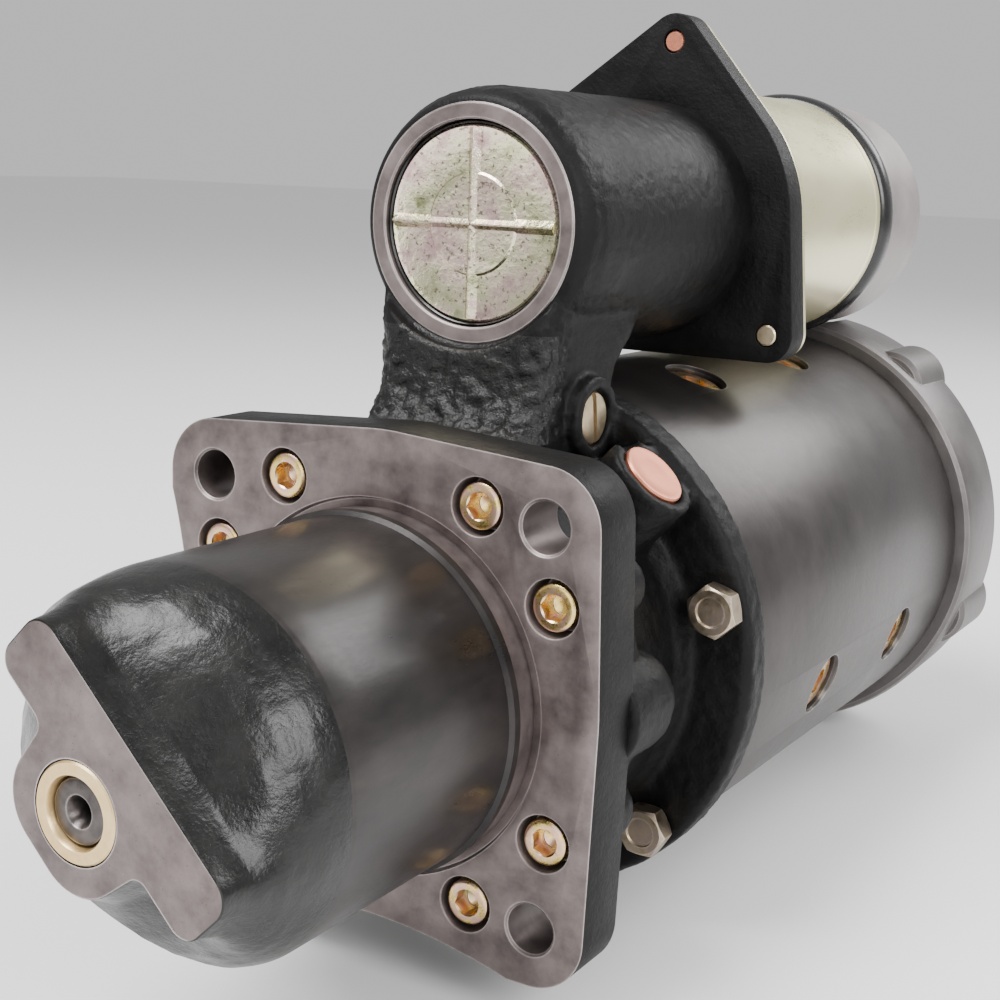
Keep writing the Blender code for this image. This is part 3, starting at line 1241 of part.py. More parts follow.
def main():
    """Build the whole starter motor."""
    make_nose_housing()
    make_socket_screws()
    make_bushings()
    make_lever_housing()
    make_front_closures()
    make_center_plate()
    make_pinion()
    make_clutch()
    make_shift_lever()
    make_plunger()
    make_return_spring()
    make_solenoid()
    make_armature()
    make_field_frame()
    make_poles()
    make_field_coils()
    make_frame_bolts()
    make_end_bolts()
    make_end_frame()
    make_brush_gear()


main()
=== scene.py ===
"""Starter motor: detailed castings, machined faces and plated fastenings.

Every piece is built in metres in the frame of the CAD model: the shaft is the Y
axis, the nose points to -Y, the solenoid lies above, and +Z is up.
"""

import json
import logging
import math
from collections.abc import Callable
from dataclasses import dataclass
from enum import Enum

import bmesh
import bpy
from mathutils import Matrix, Vector, noise


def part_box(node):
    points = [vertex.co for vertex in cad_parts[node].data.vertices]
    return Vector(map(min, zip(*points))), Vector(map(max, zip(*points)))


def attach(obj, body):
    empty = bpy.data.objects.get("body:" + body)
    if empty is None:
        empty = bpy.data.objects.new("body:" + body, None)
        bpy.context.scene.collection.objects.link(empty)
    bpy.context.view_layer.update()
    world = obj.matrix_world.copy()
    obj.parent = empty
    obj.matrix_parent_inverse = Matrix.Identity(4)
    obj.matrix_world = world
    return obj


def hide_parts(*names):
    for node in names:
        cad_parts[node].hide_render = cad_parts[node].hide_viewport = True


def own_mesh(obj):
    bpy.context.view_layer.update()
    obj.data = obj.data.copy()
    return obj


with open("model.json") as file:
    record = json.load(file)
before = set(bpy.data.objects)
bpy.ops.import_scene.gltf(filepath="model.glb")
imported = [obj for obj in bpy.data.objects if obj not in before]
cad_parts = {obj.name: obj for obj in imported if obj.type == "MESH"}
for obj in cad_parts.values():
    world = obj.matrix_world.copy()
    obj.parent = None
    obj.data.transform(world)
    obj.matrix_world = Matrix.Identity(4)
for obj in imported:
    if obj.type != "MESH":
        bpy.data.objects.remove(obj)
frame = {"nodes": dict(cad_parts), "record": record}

LOG = logging.getLogger("starter_motor")
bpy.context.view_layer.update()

Point = tuple[float, float]
Colour = tuple[float, float, float]
Stops = tuple[tuple[float, Colour], ...]
Tools = list[tuple[bpy.types.Object, "Join"]]

SOLENOID_HEIGHT = 0.1146
SCREW_CIRCLE = 0.0583
SCREW_ANGLES = (30, 60, 120, 150, 210, 240, 300, 330)
RIM_BOLT_CIRCLE = 0.0670
RIM_BOLT_ANGLES = (15.5, -44.5, -104.5, 195.5, 135.5)
END_BOLT_CIRCLE = 0.0672
END_BOLT_ANGLES = (54, -22, -126, 158)
EAR_CIRCLE = 0.0532
EAR_HOLE = 0.0034
EAR_ANGLES = (82.6, -37.4, 202.6)
CAD_POLE_SCREWS = 4

FLECK_LEVEL = 0.72
FLECK_EDGE = 0.06
# The edge settings paint outer edges bright: partly rubbed wear, partly a painted edge
# highlight.
WEAR_AND_HIGHLIGHT_GAIN = 5.0
WEAR_AND_HIGHLIGHT_SAMPLES = 4
GRAIN_SHARE = 0.5


class Axis(Enum):
    """Which way a turned or extruded piece's own Z axis points."""

    X = "X"
    Y = "Y"
    Z = "Z"

    def matrix(self) -> Matrix:
        """Work out the rotation that takes local Z to this axis.

        Returns:
            The rotation that takes local Z to this axis.
        """
        if self is Axis.X:
            return Matrix.Rotation(math.radians(90), 4, "Y")
        if self is Axis.Y:
            return Matrix.Rotation(math.radians(-90), 4, "X")
        return Matrix.Identity(4)


class Join(Enum):
    """How a tool acts on the piece it is used on."""

    CUT = "DIFFERENCE"
    ADD = "UNION"
    KEEP = "INTERSECT"


class Body(Enum):
    """The CAD body a piece moves with."""

    HOUSING = "housing"
    ARMATURE = "armature"
    CLUTCH = "clutch"
    PINION = "pinion"
    COLLAR = "collar"
    LEVER = "lever"
    PLUNGER = "plunger"
    CONTACT = "contact"


# ------------------------------------------------------------------ finishes
@dataclass(frozen=True)
class Finish:
    """One surface finish, built as a node material.

    Sizes are in metres: the width of the marks that they name.
    """

    name: str
    palette: Stops
    blotch: float = 0.02
    roughness: tuple[float, float] = (0.4, 0.55)
    metallic: float = 0.0
    grain: float = 0.0004
    grain_depth: float = 0.00004
    lump: float = 0.003
    lump_depth: float = 0.0
    fleck: float = 0.0008
    fleck_colour: Colour = (0.02, 0.02, 0.02)
    # Outer edges painted bright: partly rubbed wear, partly a painted edge highlight.
    fleck_share: float = 0.0
    wear_and_highlight_colour: Colour = (0.4, 0.37, 0.36)
    wear_and_highlight: float = 0.0
    wear_and_highlight_width: float = 0.0007
    stretch: tuple[float, float, float] = (1.0, 1.0, 1.0)
    coat: float = 0.0
    coat_roughness: float = 0.15
    specular: float = 0.5

    def material(self) -> bpy.types.Material:
        """Work out the finish's material, built on first use.

        Returns:
            The finish's material, built on first use.
        """
        made = bpy.data.materials.get(self.name)
        if made is None:
            made = bpy.data.materials.new(self.name)
            made.use_nodes = True
            self._build(made.node_tree)
        return made

    def _build(self, tree: bpy.types.NodeTree) -> None:
        """Wire colour, roughness and bump from layered noises.

        Args:
            tree: the node tree of the material.
        """
        shader = tree.nodes["Principled BSDF"]
        place = tree.nodes.new("ShaderNodeTexCoord")
        stretch = tree.nodes.new("ShaderNodeMapping")
        stretch.inputs["Scale"].default_value = self.stretch
        tree.links.new(place.outputs["Object"], stretch.inputs["Vector"])
        vector = stretch.outputs["Vector"]
        blotch = self._noise(tree, vector, self.blotch, 6.0, 0.62)
        colour = self._ramp(tree, blotch, self.palette)
        grain = self._noise(tree, vector, self.grain, 3.0, 0.6)
        if self.fleck_share > 0:
            colour = self._flecked(tree, vector, colour)
        # Paint the outer edges bright, as rubbed wear and as a painted edge highlight.
        if self.wear_and_highlight > 0:
            colour = self._worn_and_highlit(tree, grain, blotch, colour)
        tree.links.new(colour, shader.inputs["Base Color"])
        tree.links.new(self._gloss(tree, blotch, grain), shader.inputs["Roughness"])
        tree.links.new(self._bump(tree, vector, grain), shader.inputs["Normal"])
        shader.inputs["Metallic"].default_value = self.metallic
        shader.inputs["Coat Weight"].default_value = self.coat
        shader.inputs["Coat Roughness"].default_value = self.coat_roughness
        shader.inputs["Specular IOR Level"].default_value = self.specular

    @staticmethod
    def _noise(tree: bpy.types.NodeTree, vector: bpy.types.NodeSocket, size: float,
               detail: float, rough: float) -> bpy.types.NodeSocket:
        """Work out a noise whose marks are about size across.

        Args:
            tree: the material's node tree.
            vector: the coordinates to read.
            size: the width of the marks.
            detail: layers of noise.
            rough: how strong the finer layers are.

        Returns:
            A noise whose marks are about size across.
        """
        node = tree.nodes.new("ShaderNodeTexNoise")
        node.inputs["Scale"].default_value = 1 / size
        node.inputs["Detail"].default_value = detail
        node.inputs["Roughness"].default_value = rough
        tree.links.new(vector, node.inputs["Vector"])
        return node.outputs["Fac"]

    @staticmethod
    def _ramp(tree: bpy.types.NodeTree, value: bpy.types.NodeSocket,
              stops: Stops) -> bpy.types.NodeSocket:
        """Work out a colour picked from the stops by a value.

        Args:
            tree: the material's node tree.
            value: the socket to read.
            stops: positions and their colours.

        Returns:
            A colour picked from the stops by a value.
        """
        node = tree.nodes.new("ShaderNodeValToRGB")
        elements = node.color_ramp.elements
        while len(elements) < len(stops):
            elements.new(0.5)
        for element, (position, colour) in zip(elements, stops):
            element.position = position
            element.color = (*colour, 1)
        tree.links.new(value, node.inputs["Fac"])
        return node.outputs["Color"]

    @staticmethod
    def _mix(tree: bpy.types.NodeTree, share: bpy.types.NodeSocket,
             under: bpy.types.NodeSocket, over: Colour) -> bpy.types.NodeSocket:
        """Cover a colour with a plain one where share is high.

        Args:
            tree: the material's node tree.
            share: how much of the plain colour shows.
            under: the colour below.
            over: the plain colour.

        Returns:
            The covered colour.
        """
        node = tree.nodes.new("ShaderNodeMix")
        node.data_type = "RGBA"
        tree.links.new(share, node.inputs[0])
        tree.links.new(under, node.inputs[6])
        node.inputs[7].default_value = (*over, 1)
        return node.outputs[2]

    def _flecked(self, tree: bpy.types.NodeTree, vector: bpy.types.NodeSocket,
                 colour: bpy.types.NodeSocket) -> bpy.types.NodeSocket:
        """Work out the colour with small dark or bright flecks.

        Args:
            tree: the material's node tree.
            vector: the coordinates to read.
            colour: the colour so far.

        Returns:
            The colour with small dark or bright flecks.
        """
        spots = self._noise(tree, vector, self.fleck, 2.0, 0.7)
        edge = FLECK_LEVEL - self.fleck_share
        share = self._ramp(tree, spots, ((edge, (0, 0, 0)), (edge + FLECK_EDGE, (1, 1, 1))))
        return self._mix(tree, share, colour, self.fleck_colour)

    def _worn_and_highlit(self, tree: bpy.types.NodeTree, grain: bpy.types.NodeSocket,
              blotch: bpy.types.NodeSocket,
              colour: bpy.types.NodeSocket) -> bpy.types.NodeSocket:
        """Work out the colour with its outer edges painted bright, partly as rubbed wear and
        partly as a painted edge highlight.

        Args:
            tree: the material's node tree.
            grain: the fine noise.
            blotch: the broad noise.
            colour: the colour so far.

        Returns:
            The colour with its outer edges painted bright, as rubbed wear and as a painted edge
            highlight.
        """
        # Edges found by the bevel normal get the bright colour: rubbed wear and a painted edge
        # highlight.
        rounded = tree.nodes.new("ShaderNodeBevel")
        rounded.samples = WEAR_AND_HIGHLIGHT_SAMPLES
        rounded.inputs["Radius"].default_value = self.wear_and_highlight_width
        facing = tree.nodes.new("ShaderNodeNewGeometry")
        turn = tree.nodes.new("ShaderNodeVectorMath")
        turn.operation = "DOT_PRODUCT"
        tree.links.new(rounded.outputs["Normal"], turn.inputs[0])
        tree.links.new(facing.outputs["Normal"], turn.inputs[1])
        level = self._math(tree, "SUBTRACT", 1.0, turn.outputs["Value"])
        broken = self._math(tree, "MULTIPLY", self._math(tree, "ADD", grain, blotch),
                            self.wear_and_highlight * WEAR_AND_HIGHLIGHT_GAIN)
        share = self._math(tree, "MULTIPLY", level, broken)
        clamp = tree.nodes.new("ShaderNodeClamp")
        tree.links.new(share, clamp.inputs["Value"])
        return self._mix(tree, clamp.outputs["Result"], colour, self.wear_and_highlight_colour)

    @staticmethod
    def _math(tree: bpy.types.NodeTree, operation: str,
              first: float | bpy.types.NodeSocket,
              second: float | bpy.types.NodeSocket) -> bpy.types.NodeSocket:
        """Work out one sum on two numbers or sockets.

        Args:
            tree: the material's node tree.
            operation: the math node's operation.
            first: a number or a socket.
            second: a number or a socket.

        Returns:
            The socket with the result.
        """
        node = tree.nodes.new("ShaderNodeMath")
        node.operation = operation
        for socket, value in zip(node.inputs, (first, second)):
            if isinstance(value, (int, float)):
                socket.default_value = value
            else:
                tree.links.new(value, socket)
        return node.outputs["Value"]

    def _gloss(self, tree: bpy.types.NodeTree, blotch: bpy.types.NodeSocket,
               grain: bpy.types.NodeSocket) -> bpy.types.NodeSocket:
        """Work out a roughness that wanders between its two ends.

        Args:
            tree: the material's node tree.
            blotch: the broad noise.
            grain: the fine noise.

        Returns:
            A roughness that wanders between its two ends.
        """
        both = self._math(tree, "ADD", blotch, self._math(tree, "MULTIPLY", grain, GRAIN_SHARE))
        node = tree.nodes.new("ShaderNodeMapRange")
        node.inputs["From Min"].default_value = 0.5
        node.inputs["From Max"].default_value = 1.0
        node.inputs["To Min"].default_value = self.roughness[0]
        node.inputs["To Max"].default_value = self.roughness[1]
        tree.links.new(both, node.inputs["Value"])
        return node.outputs["Result"]

    def _bump(self, tree: bpy.types.NodeTree, vector: bpy.types.NodeSocket,
              grain: bpy.types.NodeSocket) -> bpy.types.NodeSocket:
        """Work out a normal roughened by fine grain and larger lumps.

        Args:
            tree: the material's node tree.
            vector: the coordinates to read.
            grain: the fine noise.

        Returns:
            A normal roughened by fine grain and larger lumps.
        """
        fine = tree.nodes.new("ShaderNodeBump")
        fine.inputs["Strength"].default_value = 1.0
        fine.inputs["Distance"].default_value = self.grain_depth
        tree.links.new(grain, fine.inputs["Height"])
        if self.lump_depth > 0:
            coarse = tree.nodes.new("ShaderNodeBump")
            coarse.inputs["Strength"].default_value = 1.0
            coarse.inputs["Distance"].default_value = self.lump_depth
            lumps = self._noise(tree, vector, self.lump, 4.0, 0.55)
            tree.links.new(lumps, coarse.inputs["Height"])
            tree.links.new(coarse.outputs["Normal"], fine.inputs["Normal"])
        return fine.outputs["Normal"]


# The wear settings in these finishes paint outer edges bright, partly as rubbed wear and partly
# as a painted edge highlight.
MACHINED = Finish("bare_machined_iron",
                  ((0.32, (0.085, 0.068, 0.066)), (0.50, (0.150, 0.122, 0.118)),
                   (0.70, (0.215, 0.178, 0.172))),
                  blotch=0.011, roughness=(0.38, 0.54), metallic=0.70, grain=0.00035,
                  grain_depth=0.00002, fleck=0.0006, fleck_colour=(0.07, 0.05, 0.05),
                  fleck_share=0.05, wear_and_highlight=1.0, wear_and_highlight_colour=(0.62, 0.56, 0.55))
BARREL = Finish("dark_turned_iron",
                ((0.35, (0.010, 0.009, 0.009)), (0.55, (0.022, 0.019, 0.018)),
                 (0.75, (0.040, 0.033, 0.031))),
                blotch=0.016, roughness=(0.26, 0.42), metallic=0.35, grain=0.0008,
                grain_depth=0.00002, fleck=0.0012, fleck_share=0.05,
                stretch=(1.0, 0.35, 1.0), coat=0.08, specular=0.35)
ENAMEL = Finish("thick_black_enamel",
                ((0.3, (0.0025, 0.0025, 0.0025)), (0.7, (0.006, 0.0055, 0.005))),
                blotch=0.012, roughness=(0.22, 0.42), grain=0.0010,
                grain_depth=0.00012, lump=0.0030, lump_depth=0.00022, specular=0.30,
                coat=0.12, coat_roughness=0.14)
CASTING = Finish("black_painted_casting",
                 ((0.35, (0.0025, 0.0024, 0.0024)), (0.7, (0.0065, 0.006, 0.006))),
                 blotch=0.018, roughness=(0.42, 0.62), metallic=0.1, grain=0.0009,
                 grain_depth=0.00014, lump=0.0035, lump_depth=0.0003,
                 fleck=0.0010, fleck_colour=(0.002, 0.002, 0.002), fleck_share=0.08,
                 specular=0.16)
ROUGH_CASTING = Finish("rough_sand_casting",
                       ((0.35, (0.004, 0.004, 0.004)), (0.7, (0.010, 0.0095, 0.009))),
                       blotch=0.012, roughness=(0.26, 0.48), grain=0.0009,
                       grain_depth=0.0003, lump=0.0022, lump_depth=0.0006,
                       specular=0.26)
FRAME_GREY = Finish("satin_grey_frame",
                    ((0.32, (0.040, 0.036, 0.035)), (0.55, (0.062, 0.056, 0.054)),
                     (0.75, (0.082, 0.074, 0.072))),
                    blotch=0.035, roughness=(0.30, 0.42), metallic=0.75,
                    grain=0.0012, grain_depth=0.000018, lump=0.006,
                    lump_depth=0.00010, fleck=0.0015,
                    fleck_colour=(0.055, 0.050, 0.050), fleck_share=0.03,
                    wear_and_highlight=0.7, wear_and_highlight_colour=(0.45, 0.42, 0.41))
END_GREY = Finish("satin_grey_end_frame",
                  ((0.32, (0.085, 0.078, 0.077)), (0.55, (0.125, 0.114, 0.112)),
                   (0.75, (0.155, 0.142, 0.140))),
                  blotch=0.025, roughness=(0.36, 0.48), metallic=0.6, grain=0.0010,
                  grain_depth=0.00003, lump=0.004, lump_depth=0.00012,
                  wear_and_highlight=0.7, wear_and_highlight_colour=(0.45, 0.42, 0.41))
ZINC_CASE = Finish("pale_yellow_zinc",
                   ((0.30, (0.74, 0.72, 0.40)), (0.50, (0.92, 0.86, 0.54)),
                    (0.66, (0.96, 0.88, 0.62)), (0.78, (0.92, 0.74, 0.54))),
                   blotch=0.030, roughness=(0.24, 0.36), metallic=0.85, grain=0.0010,
                   grain_depth=0.00001, stretch=(1.0, 0.35, 1.0))
ZINC_SCREW = Finish("iridescent_zinc",
                    ((0.30, (0.50, 0.34, 0.08)), (0.46, (0.78, 0.58, 0.22)),
                     (0.58, (0.70, 0.42, 0.36)), (0.72, (0.46, 0.52, 0.20))),
                    blotch=0.0040, roughness=(0.22, 0.38), metallic=1.0,
                    grain=0.0005, grain_depth=0.00002, wear_and_highlight=0.6,
                    wear_and_highlight_colour=(0.85, 0.80, 0.70))
ZINC_BOLT = Finish("dull_zinc",
                   ((0.30, (0.26, 0.20, 0.13)), (0.50, (0.42, 0.34, 0.25)),
                    (0.70, (0.34, 0.27, 0.26))),
                   blotch=0.004, roughness=(0.30, 0.46), metallic=1.0,
                   grain=0.0006, grain_depth=0.00004, wear_and_highlight=0.9,
                   wear_and_highlight_colour=(0.75, 0.66, 0.52))
ZINC_PLUG = Finish("mottled_zinc",
                   ((0.32, (0.34, 0.36, 0.18)), (0.43, (0.70, 0.68, 0.44)),
                    (0.54, (0.74, 0.62, 0.50)), (0.64, (0.50, 0.33, 0.33)),
                    (0.76, (0.30, 0.28, 0.16))),
                   blotch=0.013, roughness=(0.16, 0.34), metallic=1.0, grain=0.0012,
                   grain_depth=0.00008, lump=0.004, lump_depth=0.00025, fleck=0.0013,
                   fleck_colour=(0.24, 0.19, 0.15), fleck_share=0.13)
BRONZE = Finish("bearing_bronze",
                ((0.3, (0.62, 0.42, 0.18)), (0.7, (0.80, 0.60, 0.32))),
                blotch=0.006, roughness=(0.32, 0.46), metallic=0.9, grain=0.0004,
                grain_depth=0.00002, wear_and_highlight=0.4, wear_and_highlight_colour=(0.9, 0.78, 0.55))
BRASS = Finish("pale_brass",
               ((0.3, (0.48, 0.38, 0.24)), (0.7, (0.70, 0.58, 0.40))),
               blotch=0.004, roughness=(0.30, 0.44), metallic=0.9, grain=0.0005,
               grain_depth=0.00002)
COPPER = Finish("bare_copper",
                ((0.3, (0.40, 0.13, 0.075)), (0.7, (0.58, 0.22, 0.135))),
                blotch=0.007, roughness=(0.36, 0.5), metallic=0.85, grain=0.0005,
                grain_depth=0.00002, fleck=0.0012, fleck_colour=(0.5, 0.2, 0.14),
                fleck_share=0.05, wear_and_highlight=0.6, wear_and_highlight_colour=(0.80, 0.45, 0.34))
RUBBER = Finish("gloss_black_rubber",
                ((0.3, (0.006, 0.006, 0.006)), (0.7, (0.014, 0.013, 0.013))),
                blotch=0.012, roughness=(0.18, 0.32), grain=0.0008,
                grain_depth=0.00001)
MOULDING = Finish("grey_moulding",
                  ((0.3, (0.22, 0.19, 0.19)), (0.7, (0.33, 0.29, 0.29))),
                  blotch=0.020, roughness=(0.38, 0.5), metallic=0.45, grain=0.0007,
                  grain_depth=0.00003, lump=0.004, lump_depth=0.0001)
SHAFT_STEEL = Finish("dark_shaft_steel",
                     ((0.3, (0.05, 0.045, 0.045)), (0.7, (0.12, 0.105, 0.10))),
                     blotch=0.004, roughness=(0.28, 0.42), metallic=0.95,
                     grain=0.0005, grain_depth=0.00003, wear_and_highlight=0.8,
                     wear_and_highlight_colour=(0.5, 0.46, 0.45))
STEEL = Finish("oiled_steel",
               ((0.3, (0.20, 0.19, 0.19)), (0.7, (0.36, 0.34, 0.33))),
               blotch=0.010, roughness=(0.24, 0.4), metallic=0.95, grain=0.0005,
               grain_depth=0.00002, fleck=0.0010, fleck_share=0.03)
WINDING = Finish("varnished_winding",
                 ((0.3, (0.20, 0.07, 0.03)), (0.7, (0.38, 0.15, 0.07))),
                 blotch=0.006, roughness=(0.25, 0.5), metallic=0.4, grain=0.0008,
                 grain_depth=0.0001, coat=0.4, stretch=(1.0, 0.3, 1.0))
CARBON = Finish("pressed_carbon",
                ((0.3, (0.012, 0.012, 0.012)), (0.7, (0.035, 0.033, 0.033))),
                blotch=0.004, roughness=(0.5, 0.7), grain=0.0004,
                grain_depth=0.00003)


# --------------------------------------------------------------- mesh making
def add_object(name: str, work: bmesh.types.BMesh,
               place: Matrix | None = None) -> bpy.types.Object:
    """Turn a bmesh into an object whose points are in the model's frame.

    Args:
        name: the piece's name.
        work: its mesh, freed here.
        place: where it goes, or None if it is in place already.

    Returns:
        The new object.
    """
    if place is not None:
        work.transform(place)
    bmesh.ops.recalc_face_normals(work, faces=work.faces)
    mesh = bpy.data.meshes.new(name)
    work.to_mesh(mesh)
    work.free()
    made = bpy.data.objects.new(name, mesh)
    bpy.context.scene.collection.objects.link(made)
    return made


def turned(name: str, profile: list[Point], centre: tuple = (0, 0, 0),
           axis: Axis = Axis.Y, steps: int = 128, ring: bool = False,
           place: Matrix | None = None) -> bpy.types.Object:
    """Turn a profile of (along, radius) points about an axis.

    Args:
        name: the piece's name.
        profile: the points, in order.
        centre: a point on the axis.
        axis: the axis's direction.
        steps: facets round the circle.
        ring: True if the profile is a closed loop clear of the axis.
        place: a placement used instead of centre and axis.

    Returns:
        The new object.
    """
    work = bmesh.new()
    rows = []
    for along, radius in profile:
        if radius == 0:
            rows.append([work.verts.new((0, 0, along))] * steps)
            continue
        rows.append([work.verts.new((radius * math.cos(math.tau * step / steps),
                                     radius * math.sin(math.tau * step / steps),
                                     along)) for step in range(steps)])
    pairs = list(zip(rows, rows[1:]))
    if ring:
        pairs.append((rows[-1], rows[0]))
    for first, second in pairs:
        for step in range(steps):
            after = (step + 1) % steps
            corners = [first[step], first[after], second[after], second[step]]
            corners = [corner for index, corner in enumerate(corners)
                       if corner not in corners[:index]]
            if len(corners) > 2:
                work.faces.new(corners)
    where = place or Matrix.Translation(centre) @ axis.matrix()
    return add_object(name, work, where)


def rod(name: str, radius: float, start: float, end: float,
        centre: tuple = (0, 0, 0), axis: Axis = Axis.Y, steps: int = 64,
        place: Matrix | None = None) -> bpy.types.Object:
    """Make a plain cylinder, used as a tool."""
    profile = [(end, 0), (end, radius), (start, radius), (start, 0)]
    return turned(name, profile, centre, axis, steps, place=place)


def slab(name: str, outline: list[Point], start: float, end: float,
         centre: tuple = (0, 0, 0), axis: Axis = Axis.Y,
         place: Matrix | None = None) -> bpy.types.Object:
    """Extrude a flat outline of local (x, y) points along local Z.

    Args:
        name: the piece's name.
        outline: its flat outline.
        start: where it begins.
        end: where it ends.
        centre: a point on its axis.
        axis: the axis it lies along.
        place: a placement used instead of centre and axis.

    Returns:
        The piece.
    """
    work = bmesh.new()
    low = [work.verts.new((across, up, start)) for across, up in outline]
    high = [work.verts.new((across, up, end)) for across, up in outline]
    work.faces.new(low)
    work.faces.new(high)
    count = len(outline)
    for index in range(count):
        after = (index + 1) % count
        work.faces.new((low[index], low[after], high[after], high[index]))
    where = place or Matrix.Translation(centre) @ axis.matrix()
    return add_object(name, work, where)


def block(name: str, low: tuple, high: tuple,
          place: Matrix | None = None) -> bpy.types.Object:
    """Make a box between two corners, used as a tool.

    Args:
        name: the piece's name.
        low: its low corner.
        high: its high corner.
        place: a placement used instead of centre and axis.

    Returns:
        The piece.
    """
    work = bmesh.new()
    bmesh.ops.create_cube(work, size=1)
    size = [high[axis] - low[axis] for axis in range(3)]
    middle = [(high[axis] + low[axis]) / 2 for axis in range(3)]
    bmesh.ops.scale(work, vec=size, verts=work.verts)
    bmesh.ops.translate(work, vec=middle, verts=work.verts)
    return add_object(name, work, place)


def settle(piece: bpy.types.Object) -> bpy.types.Object:
    """Apply a piece's modifiers for good.

    Args:
        piece: the piece.

    Returns:
        The piece.
    """
    graph = bpy.context.evaluated_depsgraph_get()
    mesh = bpy.data.meshes.new_from_object(piece.evaluated_get(graph))
    piece.modifiers.clear()
    piece.data = mesh
    mesh.name = piece.name
    return piece


def shape(piece: bpy.types.Object, tools: Tools) -> bpy.types.Object:
    """Use tools on a piece one after the other, then throw them away.

    Args:
        piece: the piece.
        tools: each tool with how it acts.

    Returns:
        The piece.
    """
    for tool, join in tools:
        modifier = piece.modifiers.new(tool.name, "BOOLEAN")
        modifier.object = tool
        modifier.operation = join.value
        modifier.solver = "EXACT"
    settle(piece)
    for tool, _ in tools:
        bpy.data.objects.remove(tool, do_unlink=True)
    return piece


def chamfer(piece: bpy.types.Object, width: float, segments: int = 2,
            angle: float = 40) -> bpy.types.Object:
    """Round the piece's real edges.

    Args:
        piece: the piece.
        width: the width of the rounding.
        segments: facets across the rounding.
        angle: only bends of more degrees than this are rounded.

    Returns:
        The piece.
    """
    modifier = piece.modifiers.new("edges", "BEVEL")
    modifier.width = width
    modifier.segments = segments
    modifier.limit_method = "ANGLE"
    modifier.angle_limit = math.radians(angle)
    modifier.harden_normals = False
    return settle(piece)


def cast(piece: bpy.types.Object, voxel: float, passes: int) -> bpy.types.Object:
    """Melt a piece's edges as a sand casting's are, on an even fine mesh.

    Args:
        piece: the piece.
        voxel: the size of the even mesh.
        passes: rounds of smoothing.

    Returns:
        The piece.
    """
    remesh = piece.modifiers.new("remesh", "REMESH")
    remesh.mode = "VOXEL"
    remesh.voxel_size = voxel
    soften = piece.modifiers.new("soften", "SMOOTH")
    soften.iterations = passes
    soften.factor = 0.5
    return settle(piece)


def roughen(piece: bpy.types.Object, depth: Callable[[Vector], float],
            size: float, octaves: int = 4) -> None:
    """Push a mesh's points in and out by noise.

    Args:
        piece: the piece, on a fine mesh.
        depth: a function from a point to how far it may move.
        size: the width of the lumps.
        octaves: layers of noise.
    """
    mesh = piece.data
    normals = [vertex.normal.copy() for vertex in mesh.vertices]
    for vertex, normal in zip(mesh.vertices, normals):
        reach = depth(vertex.co)
        if reach > 0:
            level = noise.fractal(vertex.co / size, 0.9, 2.1, octaves)
            vertex.co += normal * (level * reach)
    mesh.update()


def dress(piece: bpy.types.Object, finish: Finish, body: Body, slot: str,
          *nodes: str, smooth: float = 30) -> bpy.types.Object:
    """Give a piece its finish, its body and the CAD nodes it stands for.

    Args:
        piece: the piece.
        finish: its finish.
        body: the body it moves with.
        slot: the record's material slot; not used.
        nodes: the CAD nodes that it replaces.
        smooth: edges sharper than this many degrees stay sharp.

    Returns:
        The piece.
    """
    if not piece.data.materials:
        piece.data.materials.append(finish.material())
    piece.data.shade_smooth()
    piece.data.set_sharp_from_angle(angle=math.radians(smooth))
    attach(piece, body.value)
    if nodes:
        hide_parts(*nodes)
    LOG.info("piece %s on %s", piece.name, body.value)
    return piece


def polar(radius: float, angle: float) -> Point:
    """Return the point at a radius and an angle in radians."""
    return radius * math.cos(angle), radius * math.sin(angle)


def on_circle(radius: float, degrees: float, height: float = 0.0) -> tuple:
    """Return a place (x, 0, z) on a circle about an axis along Y."""
    across, up = polar(radius, math.radians(degrees))
    return across, 0.0, height + up


def circle(centre: Point, radius: float, count: int = 64) -> list[Point]:
    """Work out points round a circle.

    Args:
        centre: a point on its axis.
        radius: its radius.
        count: how many points.

    Returns:
        Points round a circle.
    """
    return [(centre[0] + across, centre[1] + up)
            for across, up in (polar(radius, math.tau * index / count)
                               for index in range(count))]


def flipped(outline: list[Point]) -> list[Point]:
    """Turn an (x, z) outline into the local frame of a slab along Y."""
    return [(across, -up) for across, up in outline]


def hull(points: list[Point]) -> list[Point]:
    """Work out the convex hull of flat points.

    Args:
        points: the flat points.

    Returns:
        The convex hull of flat points.
    """
    ordered = sorted(set(points))

    def half(sequence: list[Point]) -> list[Point]:
        """Work out one side of the hull.

        Args:
            sequence: the points in order.

        Returns:
            One side of the hull.
        """
        chain: list[Point] = []
        for point in sequence:
            while len(chain) > 1 and (
                    (chain[-1][0] - chain[-2][0]) * (point[1] - chain[-2][1])
                    - (chain[-1][1] - chain[-2][1]) * (point[0] - chain[-2][0])) <= 0:
                chain.pop()
            chain.append(point)
        return chain[:-1]

    return half(ordered) + half(ordered[::-1])


